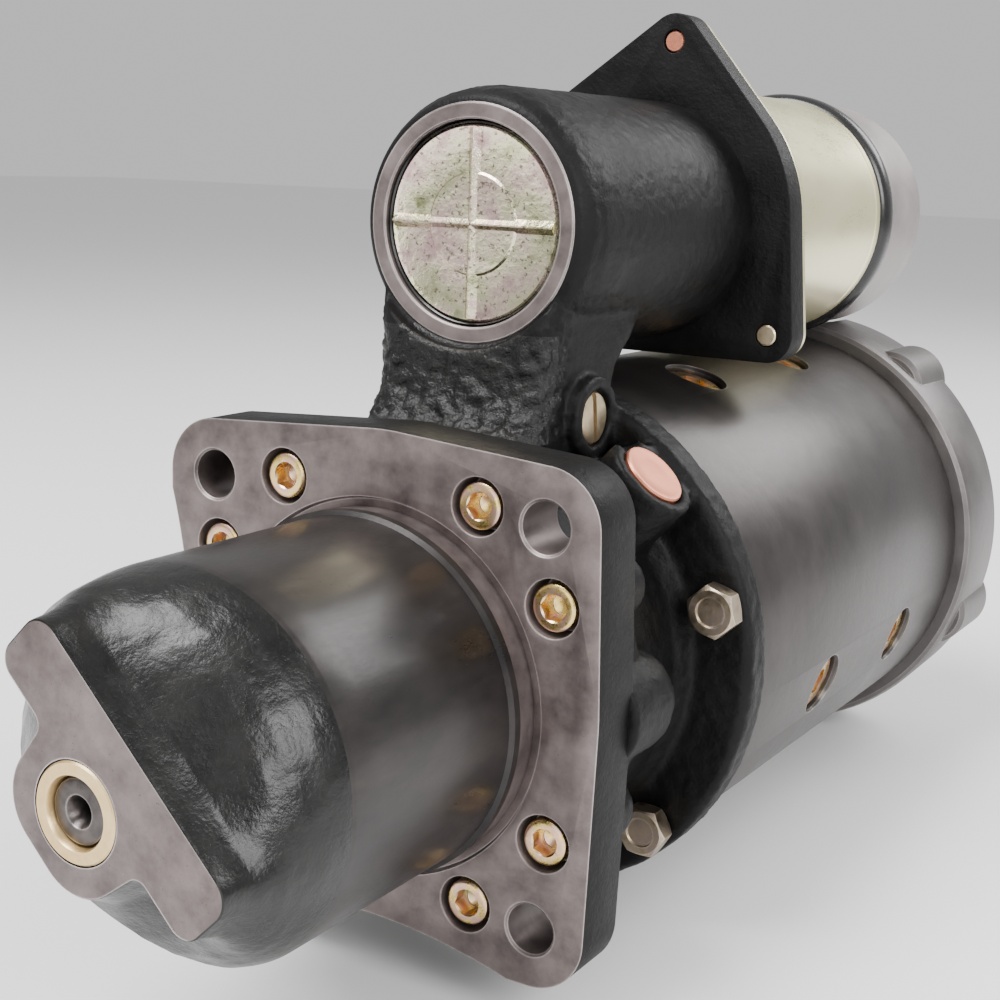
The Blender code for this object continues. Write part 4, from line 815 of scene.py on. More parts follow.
def rounded_outline(corners: list[tuple[float, float, float]],
                    arc_steps: int = 12) -> list[Point]:
    """Work out an outline whose corners (x, y, radius) are rounded by arcs.

    Args:
        corners: corners as (x, y, radius).
        arc_steps: facets of each arc.

    Returns:
        An outline whose corners (x, y, radius) are rounded by arcs.
    """
    outline = []
    count = len(corners)
    for index, (across, up, radius) in enumerate(corners):
        here = Vector((across, up))
        before = (Vector(corners[index - 1][:2]) - here).normalized()
        after = (Vector(corners[(index + 1) % count][:2]) - here).normalized()
        half = before.angle(after) / 2
        middle = here + (before + after).normalized() * radius / math.sin(half)
        start = here + before * radius / math.tan(half) - middle
        stop = here + after * radius / math.tan(half) - middle
        sweep = start.angle_signed(stop)
        for step in range(arc_steps + 1):
            arm = start.copy()
            arm.rotate(Matrix.Rotation(-sweep * step / arc_steps, 2))
            outline.append(tuple(middle + arm))
    return outline


def resampled(outline: list[Point], count: int) -> list[Vector]:
    """Work out points at equal steps of length round a closed outline.

    Args:
        outline: its flat outline.
        count: how many points.

    Returns:
        Points at equal steps of length round a closed outline.
    """
    points = [Vector(point) for point in outline]
    lengths = [(points[(index + 1) % len(points)] - point).length
               for index, point in enumerate(points)]
    step = sum(lengths) / count
    result = []
    index = 0
    start = 0.0
    for number in range(count):
        target = step * number
        while start + lengths[index] <= target:
            start += lengths[index]
            index += 1
        share = (target - start) / lengths[index]
        result.append(points[index].lerp(points[(index + 1) % len(points)], share))
    return result


def hexagon(flats: float) -> list[Point]:
    """Return a hexagon's outline from its size across the flats."""
    return circle((0, 0), flats / 2 / math.cos(math.radians(30)), 6)


def radial(degrees: float, along: float) -> Matrix:
    """Place local Z away from the shaft at an angle, at a place along it.

    Args:
        degrees: the angle in degrees.
        along: the place along the shaft.

    Returns:
        The placement.
    """
    across, up = polar(1, math.radians(degrees))
    turn = Vector((across, 0, up)).to_track_quat("Z", "Y").to_matrix().to_4x4()
    return Matrix.Translation((0, along, 0)) @ turn


# ------------------------------------------------------------ pinion housing
@dataclass
class PinionHousing:
    """The nose casting: square flange, turned barrel and scooped end bar."""

    length: float = 0.1015
    barrel: float = 0.0455
    register: float = 0.04604
    taper: float = 0.0335
    bore: float = 0.0365
    wall: float = 0.0135
    bar_top: float = 0.0227
    bar_bottom: float = 0.0056
    bar_half: float = 0.0354
    boss_bottom: float = 0.0158
    boss_half: float = 0.0152
    boss_corner: float = 0.0125
    tilt: float = math.radians(45)
    window_edge: float = 0.0205
    window_rear: float = 0.030
    thickness: float = 0.017
    pattern_half: float = 0.050
    pattern_x: float = -0.0022
    pattern_z: float = -0.0020
    corner: float = 0.0148
    waist: float = 0.164
    waist_reach: float = 0.0608
    hole: float = 0.0064
    undercut: float = 0.04875
    screw_circle: float = SCREW_CIRCLE
    angles: tuple[int, ...] = SCREW_ANGLES

    def build(self) -> None:
        """Make the flange, the barrel with its nose, and the nose's face."""
        self.make_flange()
        self.make_nose()

    def make_flange(self) -> None:
        """Make the machined flange with all its holes."""
        points = circle((0.0012, 0.0030), 0.0630, 200)
        for side in (-1, 1):
            for level in (-1, 1):
                points += circle((self.pattern_x + side * self.pattern_half,
                                  self.pattern_z + level * self.pattern_half),
                                 self.corner)
        flange = slab("flange", flipped(hull(points)), 0, self.thickness)
        tools = [
            (rod("waist_a", self.waist, -0.01, 0.03, steps=720,
                 centre=(-self.waist_reach - self.waist, 0, self.pattern_z)), Join.CUT),
            (rod("waist_b", self.waist, -0.01, 0.03, steps=720,
                 centre=(self.pattern_x, 0, -self.waist_reach - self.waist)), Join.CUT),
            (turned("register_seat",
                    [(0.03, 0), (0.03, self.register - 0.0008),
                     (0.0016, self.register - 0.0008), (0.0016, self.undercut - 0.0006),
                     (0.0010, self.undercut), (-0.01, self.undercut), (-0.01, 0)],
                    steps=192), Join.CUT)]
        for side in (-1, 1):
            for level in (-1, 1):
                centre = (self.pattern_x + side * self.pattern_half, 0,
                          self.pattern_z + level * self.pattern_half)
                profile = [(0.03, 0), (0.03, self.hole), (0.0006, self.hole),
                           (-0.001, self.hole + 0.0016), (-0.001, 0)]
                tools.append((turned("mount_hole", profile, centre, steps=64),
                              Join.CUT))
        for angle in self.angles:
            profile = [(0.03, 0), (0.03, 0.0042), (0.009, 0.0042), (0.009, 0.0072),
                       (0.0002, 0.0072), (-0.001, 0.0078), (-0.001, 0)]
            tools.append((turned("counterbore", profile,
                                 on_circle(self.screw_circle, angle), steps=64),
                          Join.CUT))
        shape(flange, tools)
        chamfer(flange, 0.0005, 2, 50)
        flange.data.materials.append(MACHINED.material())
        flange.data.materials.append(CASTING.material())
        for face in flange.data.polygons:
            across, up = face.center.x - self.pattern_x, face.center.z - self.pattern_z
            rim = max(abs(across), abs(up)) > 0.0575
            outward = face.normal.x * across + face.normal.z * up > 0
            if rim and outward and abs(face.normal.y) < 0.3:
                face.material_index = 1
        dress(flange, MACHINED, Body.HOUSING, "machined_iron", "nose_housing")

    def outline(self, count: int) -> list[Vector]:
        """Work out the end bar's outline, starting in the middle of its top.

        Args:
            count: how many points.

        Returns:
            The end bar's outline, starting in the middle of its top.
        """
        half = [(self.bar_top, self.bar_half, 0.0055),
                (self.bar_bottom, self.bar_half, 0.0045),
                (self.bar_bottom, self.boss_half + 0.0032, 0.0032),
                (-self.boss_bottom, self.boss_half, self.boss_corner)]
        corners = half + [(out, -along, radius)
                          for out, along, radius in reversed(half)]
        return resampled([(self.bar_top, 0.0)] + rounded_outline(corners), count)

    def make_nose(self) -> None:
        """Make the barrel, the nose and the machined nose face."""
        count = 288
        bar = self.outline(count)
        work = bmesh.new()
        rings = []
        layers = 44
        rings.append(self.ring(work, bar, 0.0, -self.length, 0.990))
        for layer in range(layers + 1):
            share = layer / layers
            along = -self.length + self.taper * share
            if layer == 0:
                along += 0.0002
            rings.append(self.ring(work, bar, share, along))
        barrel = [(-0.060, self.barrel), (-0.050, self.barrel), (-0.040, self.barrel),
                  (-0.030, self.barrel), (-0.020, self.barrel),
                  (-0.0090, self.barrel), (-0.0082, self.register + 0.0006),
                  (-0.0058, self.register + 0.0006), (-0.0052, self.register),
                  (0.0050, self.register), (0.0060, self.register - 0.0010)]
        for along, radius in barrel:
            rings.append([work.verts.new(self.round_point(index, count, radius, along))
                          for index in range(count)])
        for first, second in zip(rings, rings[1:]):
            for index in range(count):
                after = (index + 1) % count
                work.faces.new((first[index], first[after],
                                second[after], second[index]))
        work.faces.new(rings[0])
        work.faces.new(rings[-1])
        nose = add_object("nose_barrel", work)
        cavity = [(0.03, 0), (0.03, self.bore), (-0.072, self.bore), (-0.080, 0.032),
                  (-self.length + self.wall, 0.0255), (-self.length + self.wall, 0)]
        window = block("window", (-0.07, -0.13, -0.06),
                       (-self.window_edge, -self.window_rear, 0.06),
                       Matrix.Rotation(-self.tilt, 4, "Y"))
        chamfer(window, 0.010, 8, 30)
        shape(nose, [(turned("cavity", cavity, steps=160), Join.CUT),
                     (window, Join.CUT),
                     (rod("bearing_bore", 0.01130, -0.12, -0.07, steps=96),
                      Join.CUT)])
        self.paint_nose(nose)
        dress(nose, BARREL, Body.HOUSING, "machined_iron", "nose_housing", smooth=38)

    def swell(self, share: float) -> float:
        """Work out how far the outline has grown at a share of the taper.

        Args:
            share: the part of the taper passed, from the end bar.

        Returns:
            How far the outline has grown at a share of the taper.
        """
        knots = ((0.0, 0.0), (0.10, 0.055), (0.22, 0.15), (0.34, 0.36), (0.46, 0.57),
                 (0.60, 0.74), (0.78, 0.89), (0.90, 0.96), (1.0, 1.0))
        for (low, before), (high, after) in zip(knots, knots[1:]):
            if share <= high:
                part = (share - low) / (high - low)
                return before + (after - before) * part
        return 1.0

    def ring(self, work: bmesh.types.BMesh, bar: list[Vector], share: float,
             along: float, shrink: float = 1.0) -> list[bmesh.types.BMVert]:
        """Work out one ring of points between the end bar and the barrel.

        Args:
            work: the bmesh that takes the points.
            bar: the end bar's outline.
            share: the part of the taper passed, from the end bar.
            along: the place along the shaft.
            shrink: a scale for the first ring.

        Returns:
            One ring of points between the end bar and the barrel.
        """
        grown = self.swell(share)
        points = []
        for index, point in enumerate(bar):
            out, side = polar(self.barrel, math.tau * index / len(bar))
            mixed = self.leaned((point * shrink).lerp(Vector((out, side)), grown))
            lump = noise.fractal(Vector((mixed[0], along, mixed[1])) / 0.011,
                                 0.9, 2.1, 3)
            depth = 0.00035 * math.sin(math.pi * min(1.0, share * 1.05)) ** 0.6
            mixed *= 1 + lump * depth / max(mixed.length, 0.01)
            points.append(work.verts.new((mixed[0], along, mixed[1])))
        return points

    def leaned(self, point: Vector) -> Vector:
        """Turn a flat point by the end bar's tilt."""
        size, angle = point.length, math.atan2(point[1], point[0])
        return Vector(polar(size, angle + self.tilt))

    def round_point(self, index: int, count: int, radius: float,
                    along: float) -> Vector:
        """Return one point of a round ring, in step with the end bar's."""
        across, up = polar(radius, math.tau * index / count + self.tilt)
        return Vector((across, along, up))

    def paint_nose(self, nose: bpy.types.Object) -> None:
        """Give the face, the scooped taper and the barrel their finishes.

        Args:
            nose: the nose casting.
        """
        for finish in (BARREL, ENAMEL, MACHINED):
            nose.data.materials.append(finish.material())
        for face in nose.data.polygons:
            middle = face.center
            out = math.hypot(middle.x, middle.z)
            boundary = -self.length + self.taper - 0.0015
            if middle.y < -self.length + 0.0001 and abs(face.normal.y) > 0.9:
                face.material_index = 2
            elif middle.y < boundary or out < self.bore + 0.0005:
                face.material_index = 1
            elif middle.y > -0.0065:
                face.material_index = 2


# ------------------------------------------------------------ flange screws
@dataclass
class FlangeScrews:
    """Socket-head screws sunk in the flange."""

    circle: float = SCREW_CIRCLE
    angles: tuple[int, ...] = SCREW_ANGLES
    turns: tuple[int, ...] = (4, 52, 20, 41, 11, 33, 47, 25)
    head: float = 0.0059
    front: float = 0.0008
    rear: float = 0.0087
    key: float = 0.00635

    def build(self) -> None:
        """Make every screw with its own turn of the key hole."""
        for number, (angle, turn) in enumerate(zip(self.angles, self.turns), 1):
            place = Matrix.Translation(on_circle(self.circle, angle)) @ Axis.Y.matrix()
            place = place @ Matrix.Rotation(math.radians(turn), 4, "Z")
            profile = [(0.033, 0), (0.033, 0.0038), (self.rear, 0.0038),
                       (self.rear, self.head), (self.front + 0.0010, self.head),
                       (self.front + 0.0004, self.head - 0.0002),
                       (self.front + 0.0001, self.head - 0.0006),
                       (self.front, self.head - 0.0011), (self.front, 0)]
            screw = turned(f"socket_head_{number}", profile, steps=72, place=place)
            rim = self.key / 2 / math.cos(math.radians(30))
            shape(screw, [
                (slab("key", hexagon(self.key), self.front - 0.002,
                      self.front + 0.0042, place=place), Join.CUT),
                (turned("key_mouth", [(self.front - 0.001, 0),
                                      (self.front - 0.001, rim + 0.0009),
                                      (self.front + 0.0009, rim - 0.0010),
                                      (self.front + 0.0009, 0)], steps=48,
                        place=place), Join.CUT),
                (turned("drill", [(self.front + 0.001, 0), (self.front + 0.001, 0.0026),
                                  (self.front + 0.0046, 0.0026),
                                  (self.front + 0.0060, 0)], steps=32,
                        place=place), Join.CUT)])
            dress(screw, ZINC_SCREW, Body.HOUSING, "zinc", f"socket_screw_{number}")


# --------------------------------------------------------------- nose bearing
@dataclass
class NoseBearing:
    """The bronze bushing in the nose and the armature shaft in it."""

    face: float = -0.1015
    outer: float = 0.0113
    bore: float = 0.0077
    wall: float = 0.0135
    journal: float = 0.0074

    def build(self) -> None:
        """Make the bushing and the shaft."""
        edge = 0.0004
        profile = [(self.face + self.wall, self.outer - 0.0003),
                   (self.face + edge - 0.0003, self.outer - 0.0003),
                   (self.face - 0.0003, self.outer - edge - 0.0003),
                   (self.face - 0.0003, self.bore + edge),
                   (self.face + edge, self.bore),
                   (self.face + self.wall, self.bore)]
        bushing = turned("bearing_bush", profile, steps=128, ring=True)
        dress(bushing, BRONZE, Body.HOUSING, "bronze", "nose_bushing")
        tip = self.face + 0.0010
        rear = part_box("armature_shaft")[1].y
        shaft = [(rear, 0), (rear, 0.0080), (0.2655, 0.0080), (0.2655, 0.0095),
                 (0.262, 0.0095), (0.262, 0.0110), (0.098, 0.0110), (0.098, 0.0095),
                 (self.face + self.wall + 0.001, 0.0095),
                 (self.face + self.wall + 0.001, self.journal),
                 (tip + 0.0010, self.journal), (tip + 0.0003, self.journal - 0.0004),
                 (tip, self.journal - 0.0010), (tip, 0.0036), (tip + 0.0006, 0.0031),
                 (tip + 0.0036, 0.0016), (tip + 0.0085, 0.0014), (tip + 0.0095, 0)]
        made = turned("shaft", shaft, steps=96)
        dress(made, SHAFT_STEEL, Body.ARMATURE, "steel", "armature_shaft")


# -------------------------------------------------------------- lever housing
@dataclass
class LeverHousing:
    """The black casting with the lever's neck, the tube and the plate."""

    front: float = 0.0173
    rear: float = 0.0760
    height: float = SOLENOID_HEIGHT
    ring: float = 0.0605
    waist: float = 0.0550
    rim: float = 0.0744
    rim_front: float = 0.0645
    tube: float = 0.0354
    tube_front: float = 0.0384
    tube_face: float = 0.0308
    tube_bore: float = 0.0265
    plate_front: float = 0.1380
    plate_rear: float = 0.1477
    neck_half: float = 0.027
    neck_front: float = 0.0345
    pivot_y: float = 0.0550
    pivot_z: float = 0.0655
    plug_y: float = 0.0540
    plug_angle: float = 47.5
    voxel: float = 0.0009

    def build(self) -> None:
        """Make the casting, its machined ring and its fittings."""
        self.make_casting()
        self.make_tube_ring()

    def neck(self) -> list[Point]:
        """Work out the neck's side outline as (y, z) points.

        Returns:
            The neck's side outline as (y, z) points.
        """
        return [(self.front, 0.044), (self.front, 0.0580), (0.0290, 0.0640),
                (self.neck_front, 0.0720), (self.neck_front, self.height),
                (0.088, self.height), (0.088, 0.0860), (0.075, 0.0748),
                (0.075, 0.044)]

    def make_casting(self) -> None:
        """Join the bell, neck, tube and bosses, then cast them as one; then make the plate as a
        piece of its own.
        """
        over = (0, 0, self.height)
        bell = [(self.rear - 0.0006, 0), (self.rear - 0.0006, self.rim),
                (self.rim_front + 0.0015, self.rim), (self.rim_front, self.rim - 0.002),
                (self.rim_front, self.waist + 0.003),
                (self.rim_front - 0.006, self.waist), (0.0345, self.waist),
                (0.0295, self.ring), (self.front + 0.0006, self.ring),
                (self.front + 0.0006, 0)]
        body = turned("gear_housing", bell, steps=160)
        side_on = Matrix(((0, 0, 1, 0), (1, 0, 0, 0), (0, 1, 0, 0), (0, 0, 0, 1)))
        neck = slab("neck", self.neck(), -self.neck_half, self.neck_half,
                    place=side_on)
        chamfer(neck, 0.007, 4, 30)
        shape(neck, [(rod("ring_facing", self.tube_face + 0.0012, 0.0,
                          self.tube_front + 0.0012, over, steps=128), Join.CUT)])
        tube = [(self.plate_front + 0.004, 0), (self.plate_front + 0.004, self.tube),
                (self.tube_front + 0.0110, self.tube),
                (self.tube_front + 0.0045, 0.0343), (self.tube_front + 0.0014, 0.0326),
                (self.tube_front + 0.0004, 0.0312), (self.tube_front + 0.0004, 0)]
        tools = [(neck, Join.ADD), (turned("tube", tube, over, steps=128), Join.ADD)]
        for angle in SCREW_ANGLES:
            boss = [(0.034, 0), (0.034, 0.0060), (0.0325, 0.0080), (0.030, 0.0088),
                    (0.0160, 0.0088), (0.0160, 0)]
            tools.append((turned("boss", boss, on_circle(SCREW_CIRCLE, angle), steps=48),
                          Join.ADD))
        lobe = [(0.041, 0), (0.041, 0.009), (0.0385, 0.0130), (0.034, 0.0142),
                (0.0155, 0.0142), (0.0155, 0)]
        tools.append((turned("side_lobe", lobe, (0.0525, 0, -0.001), steps=64),
                      Join.ADD))
        tools.append((rod("plug_boss", 0.0126, 0.046, 0.0722, steps=64,
                          place=radial(self.plug_angle, self.plug_y)), Join.ADD))
        tools.append((rod("pivot_boss", 0.0112, -0.0311, 0.0311,
                          (0, self.pivot_y, self.pivot_z), Axis.X), Join.ADD))
        shape(body, tools)
        shape(body, self.hollows(over))
        cast(body, self.voxel, 5)
        self.roughen_body(body)
        self.paint(body)
        dress(body, CASTING, Body.HOUSING, "black_iron", "lever_housing", smooth=50)
        dress(self.make_plate(over), CASTING, Body.HOUSING, "black_iron",
              "lever_housing")

    def hollows(self, over: tuple) -> Tools:
        """Work out the tools that open the casting inside and for its screws.

        Args:
            over: a point on the solenoid's axis.

        Returns:
            The tools, in order.
        """
        inner = [(0.09, 0), (0.09, 0.0625), (0.0717, 0.0625), (0.0717, 0.037),
                 (0.066, 0.037), (0.066, 0.044), (0.0293, 0.044), (0.0293, 0.037),
                 (0.0, 0.037), (0.0, 0)]
        tools = [
            (turned("inside", inner, steps=128), Join.CUT),
            (block("passage", (-0.0215, 0.040, 0.02), (0.0215, 0.0703, self.height)),
             Join.CUT),
            (rod("tube_bore", self.tube_bore, 0.02, 0.17, over, steps=128), Join.CUT),
            (rod("pivot_recess", 0.0074, 0.0266, 0.05,
                 (0, self.pivot_y, self.pivot_z), Axis.X, 48), Join.CUT),
            (rod("plug_recess", 0.0093, 0.0693, 0.09, steps=64,
                 place=radial(self.plug_angle, self.plug_y)), Join.CUT)]
        for angle in RIM_BOLT_ANGLES:
            place = on_circle(RIM_BOLT_CIRCLE, angle)
            tools.append((rod("bolt_seat", 0.0092, 0.0565, self.rim_front + 0.0004,
                              place, steps=48), Join.CUT))
        return tools

    def make_plate(self, over: tuple) -> bpy.types.Object:
        """Work out the solenoid plate: a disc with three ears.

        Args:
            over: a point on the solenoid's axis.

        Returns:
            The piece.
        """
        points = circle((0, 0), 0.0475, 160)
        for angle in EAR_ANGLES:
            points += circle(polar(EAR_CIRCLE, math.radians(angle)), 0.0082, 64)
        floor = 0.0741 - self.height
        outline = hull([(across, max(up, floor)) for across, up in points])
        plate = slab("plate", flipped(outline), self.plate_front, self.plate_rear,
                     over)
        holes = [(rod("ear_hole", EAR_HOLE, 0.12, 0.16,
                      on_circle(EAR_CIRCLE, angle, self.height), steps=40), Join.CUT)
                 for angle in EAR_ANGLES]
        holes.append((rod("plate_bore", self.tube_bore, 0.12, 0.16, over, steps=128),
                      Join.CUT))
        shape(plate, holes)
        return chamfer(plate, 0.0011, 3, 50)

    def roughen_body(self, body: bpy.types.Object) -> None:
        """Give the casting its sand texture, coarsest under the tube.

        Args:
            body: the casting.
        """

        def depth(point: Vector) -> float:
            """Work out how rough the casting is at a point.

            Args:
                point: a point on the casting.

            Returns:
                The depth of the texture there.
            """
            from_ring = math.hypot(point.x, point.z - self.height) - self.tube_face
            if from_ring < 0.003 and point.y < 0.043:
                return 0.0
            front_of_neck = (point.y < 0.046 and 0.060 < point.z < 0.094
                             and abs(point.x) < 0.030)
            if front_of_neck:
                return 0.0009
            if point.y > self.plate_front - 0.002:
                return 0.0
            return 0.00022

        roughen(body, depth, 0.0032, 4)

    def paint(self, body: bpy.types.Object) -> None:
        """Give the front of the neck its rougher finish.

        Args:
            body: the casting.
        """
        body.data.materials.clear()
        body.data.materials.append(CASTING.material())
        body.data.materials.append(ROUGH_CASTING.material())
        for face in body.data.polygons:
            middle = face.center
            if (middle.y < 0.044 and 0.060 < middle.z < 0.088
                    and face.normal.y < -0.2 and abs(middle.x) < 0.027):
                face.material_index = 1
            else:
                face.material_index = 0

    def make_tube_ring(self) -> None:
        """Make the machined ring at the tube's mouth."""
        face = self.tube_front
        profile = [(face + 0.009, self.tube_face - 0.0006),
                   (face + 0.0004, self.tube_face), (face, self.tube_face - 0.0004),
                   (face, self.tube_bore + 0.0004), (face + 0.0004, self.tube_bore),
                   (face + 0.009, self.tube_bore)]
        mouth = turned("tube_mouth", profile, (0, 0, self.height), steps=192, ring=True)
        dress(mouth, MACHINED, Body.HOUSING, "machined_iron")


# ------------------------------------------------------------- small closures
@dataclass
class FrontFittings:
    """The inspection plug, its seal, the core plug and the pivot screw."""

    height: float = SOLENOID_HEIGHT
    face: float = 0.0396
    plug: float = 0.0253
    seal: float = 0.0262
    pivot_y: float = 0.0550
    pivot_z: float = 0.0655
    pivot_face: float = 0.0303
    plug_y: float = 0.0540
    plug_angle: float = 47.5
    plug_top: float = 0.0727

    def build(self) -> None:
        """Make the fittings."""
        self.make_plug()
        self.make_core_plug()
        self.make_pivot()

    def make_plug(self) -> None:
        """Make the pressed zinc plug with its cross rib, and the seal."""
        over = (0, 0, self.height)
        dish = [(self.face + 0.0024, 0), (self.face + 0.0024, self.plug),
                (self.face + 0.0008, self.plug), (self.face + 0.0002, self.plug - 0.0006),
                (self.face + 0.0006, self.plug - 0.0016),
                (self.face + 0.0006, 0.0134), (self.face + 0.0001, 0.0128),
                (self.face + 0.0001, 0)]
        plug = turned("inspection_cover", dish, over, steps=160)
        ribs = []
        for across in (True, False):
            reach, half = 0.0243, 0.0002
            wide = 0.0024
            low = (-reach, 0, -wide) if across else (-wide, 0, -reach)
            high = (reach, 0, wide) if across else (wide, 0, reach)
            rib = block("rib", (low[0], self.face - 0.0010, low[2]),
                        (high[0], self.face + 0.0012, high[2]),
                        Matrix.Translation(over))
            self.sharpen(rib, over, across, half)
            ribs.append((rib, Join.ADD))
        shape(plug, ribs)
        dress(plug, ZINC_PLUG, Body.HOUSING, "zinc", "inspection_plug", smooth=25)
        profile = [(self.face + 0.0022, self.seal), (self.face + 0.0008, self.seal),
                   (self.face + 0.0002, self.seal - 0.0003),
                   (self.face + 0.0006, self.plug + 0.0002),
                   (self.face + 0.0022, self.plug + 0.0002)]
        ring = turned("cover_seal", profile, over, steps=128, ring=True)
        dress(ring, RUBBER, Body.HOUSING, "rubber", "plug_seal")

    def sharpen(self, rib: bpy.types.Object, over: tuple, across: bool,
                half: float) -> None:
        """Narrow the rib's front so that its section is a low roof.

        Args:
            rib: the rib.
            over: a point on the solenoid's axis.
            across: whether the rib runs across the cover.
            half: half the width left at the rib's front.
        """
        for vertex in rib.data.vertices:
            if vertex.co.y < self.face:
                if across:
                    vertex.co.z = over[2] + math.copysign(half, vertex.co.z - over[2])
                else:
                    vertex.co.x = math.copysign(half, vertex.co.x)

    def make_core_plug(self) -> None:
        """Make the copper plug, slightly domed with a rolled edge."""
        top = self.plug_top
        profile = [(top - 0.0030, 0), (top - 0.0030, 0.0090), (top - 0.0006, 0.0090),
                   (top - 0.0001, 0.0087), (top, 0.0082), (top - 0.0002, 0.0074),
                   (top - 0.0001, 0.004), (top, 0)]
        plug = turned("copper_plug", profile, steps=96,
                      place=radial(self.plug_angle, self.plug_y))
        dress(plug, COPPER, Body.HOUSING, "copper", "core_plug")

    def make_pivot(self) -> None:
        """Make the lever's slotted pivot screw."""
        here = (0, self.pivot_y, self.pivot_z)
        out = self.pivot_face
        profile = [(out, 0), (out, 0.0058), (out - 0.0003, 0.0066),
                   (out - 0.0009, 0.0070), (out - 0.0036, 0.0070),
                   (out - 0.0036, 0.0055), (-0.0306, 0.0055), (-0.0306, 0)]
        screw = turned("pivot_screw", profile, here, Axis.X, 72)
        lean = Matrix.Translation(here) @ Matrix.Rotation(math.radians(8), 4, "X")
        slot = block("slot", (out - 0.0020, -0.0010, -0.01),
                     (out + 0.002, 0.0010, 0.01), lean)
        shape(screw, [(slot, Join.CUT)])
        dress(screw, BRASS, Body.HOUSING, "bronze", "lever_pivot_screw")


# ------------------------------------------------------------------ hex bolts
@dataclass
class HexBolt:
    """One hexagon-head bolt along Y."""

    name: str
    spot: tuple
    flats: float
    outer: float
    seat: float
    shank: float
    end: float
    turn: float
    node: str

    def build(self) -> None:
        """Make the head with its chamfer and washer face, and the shank."""
        place = Matrix.Translation(self.spot) @ Axis.Y.matrix()
        place = place @ Matrix.Rotation(math.radians(self.turn), 4, "Z")
        way = 1 if self.outer > self.seat else -1
        head = slab(self.name, hexagon(self.flats), min(self.outer, self.seat),
                    max(self.outer, self.seat), place=place)
        corner = self.flats / 2 / math.cos(math.radians(30))
        out = self.outer
        crown = [(out + way * 0.0001, 0), (out + way * 0.0001, self.flats * 0.46),
                 (out - way * 0.0012, corner + 0.0004),
                 (self.seat + way * 0.0010, corner + 0.0004),
                 (self.seat - way * 0.0001, self.flats * 0.50),
                 (self.seat - way * 0.0001, 0)]
        dish = [(out + way * 0.001, 0), (out + way * 0.001, self.flats * 0.36),
                (out - way * 0.0006, self.flats * 0.30), (out - way * 0.0006, 0)]
        shank = rod("shank", self.shank, min(self.seat - way * 0.001, self.end),
                    max(self.seat - way * 0.001, self.end), self.spot, steps=32)
        shape(head, [(turned("crown", crown, steps=72, place=place), Join.KEEP),
                     (turned("dish", dish, steps=48, place=place), Join.CUT),
                     (shank, Join.ADD)])
        dress(head, ZINC_BOLT, Body.HOUSING, "zinc", self.node)


@dataclass
class HexBolts:
    """The bolts of the lever housing's rim and of the end frame."""

    rim_angles: tuple[float, ...] = RIM_BOLT_ANGLES
    end_angles: tuple[float, ...] = END_BOLT_ANGLES
    turns: tuple[float, ...] = (17, 2, 40, 25, 51)

    def build(self) -> None:
        """Make both sets of bolts."""
        for number, (angle, turn) in enumerate(zip(self.rim_angles, self.turns), 1):
            HexBolt(f"rim_bolt_{number}", on_circle(RIM_BOLT_CIRCLE, angle), 0.0127, 0.0584,
                    0.0642, 0.0039, 0.0923, turn, f"frame_bolt_{number}").build()
        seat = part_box("end_frame")[1].y + 0.0003
        for number, (angle, turn) in enumerate(zip(self.end_angles, self.turns), 1):
            HexBolt(f"cover_bolt_{number}", on_circle(END_BOLT_CIRCLE, angle), 0.0111,
                    seat + 0.0046, seat, 0.0030, 0.2382, turn,
                    f"end_bolt_{number}").build()


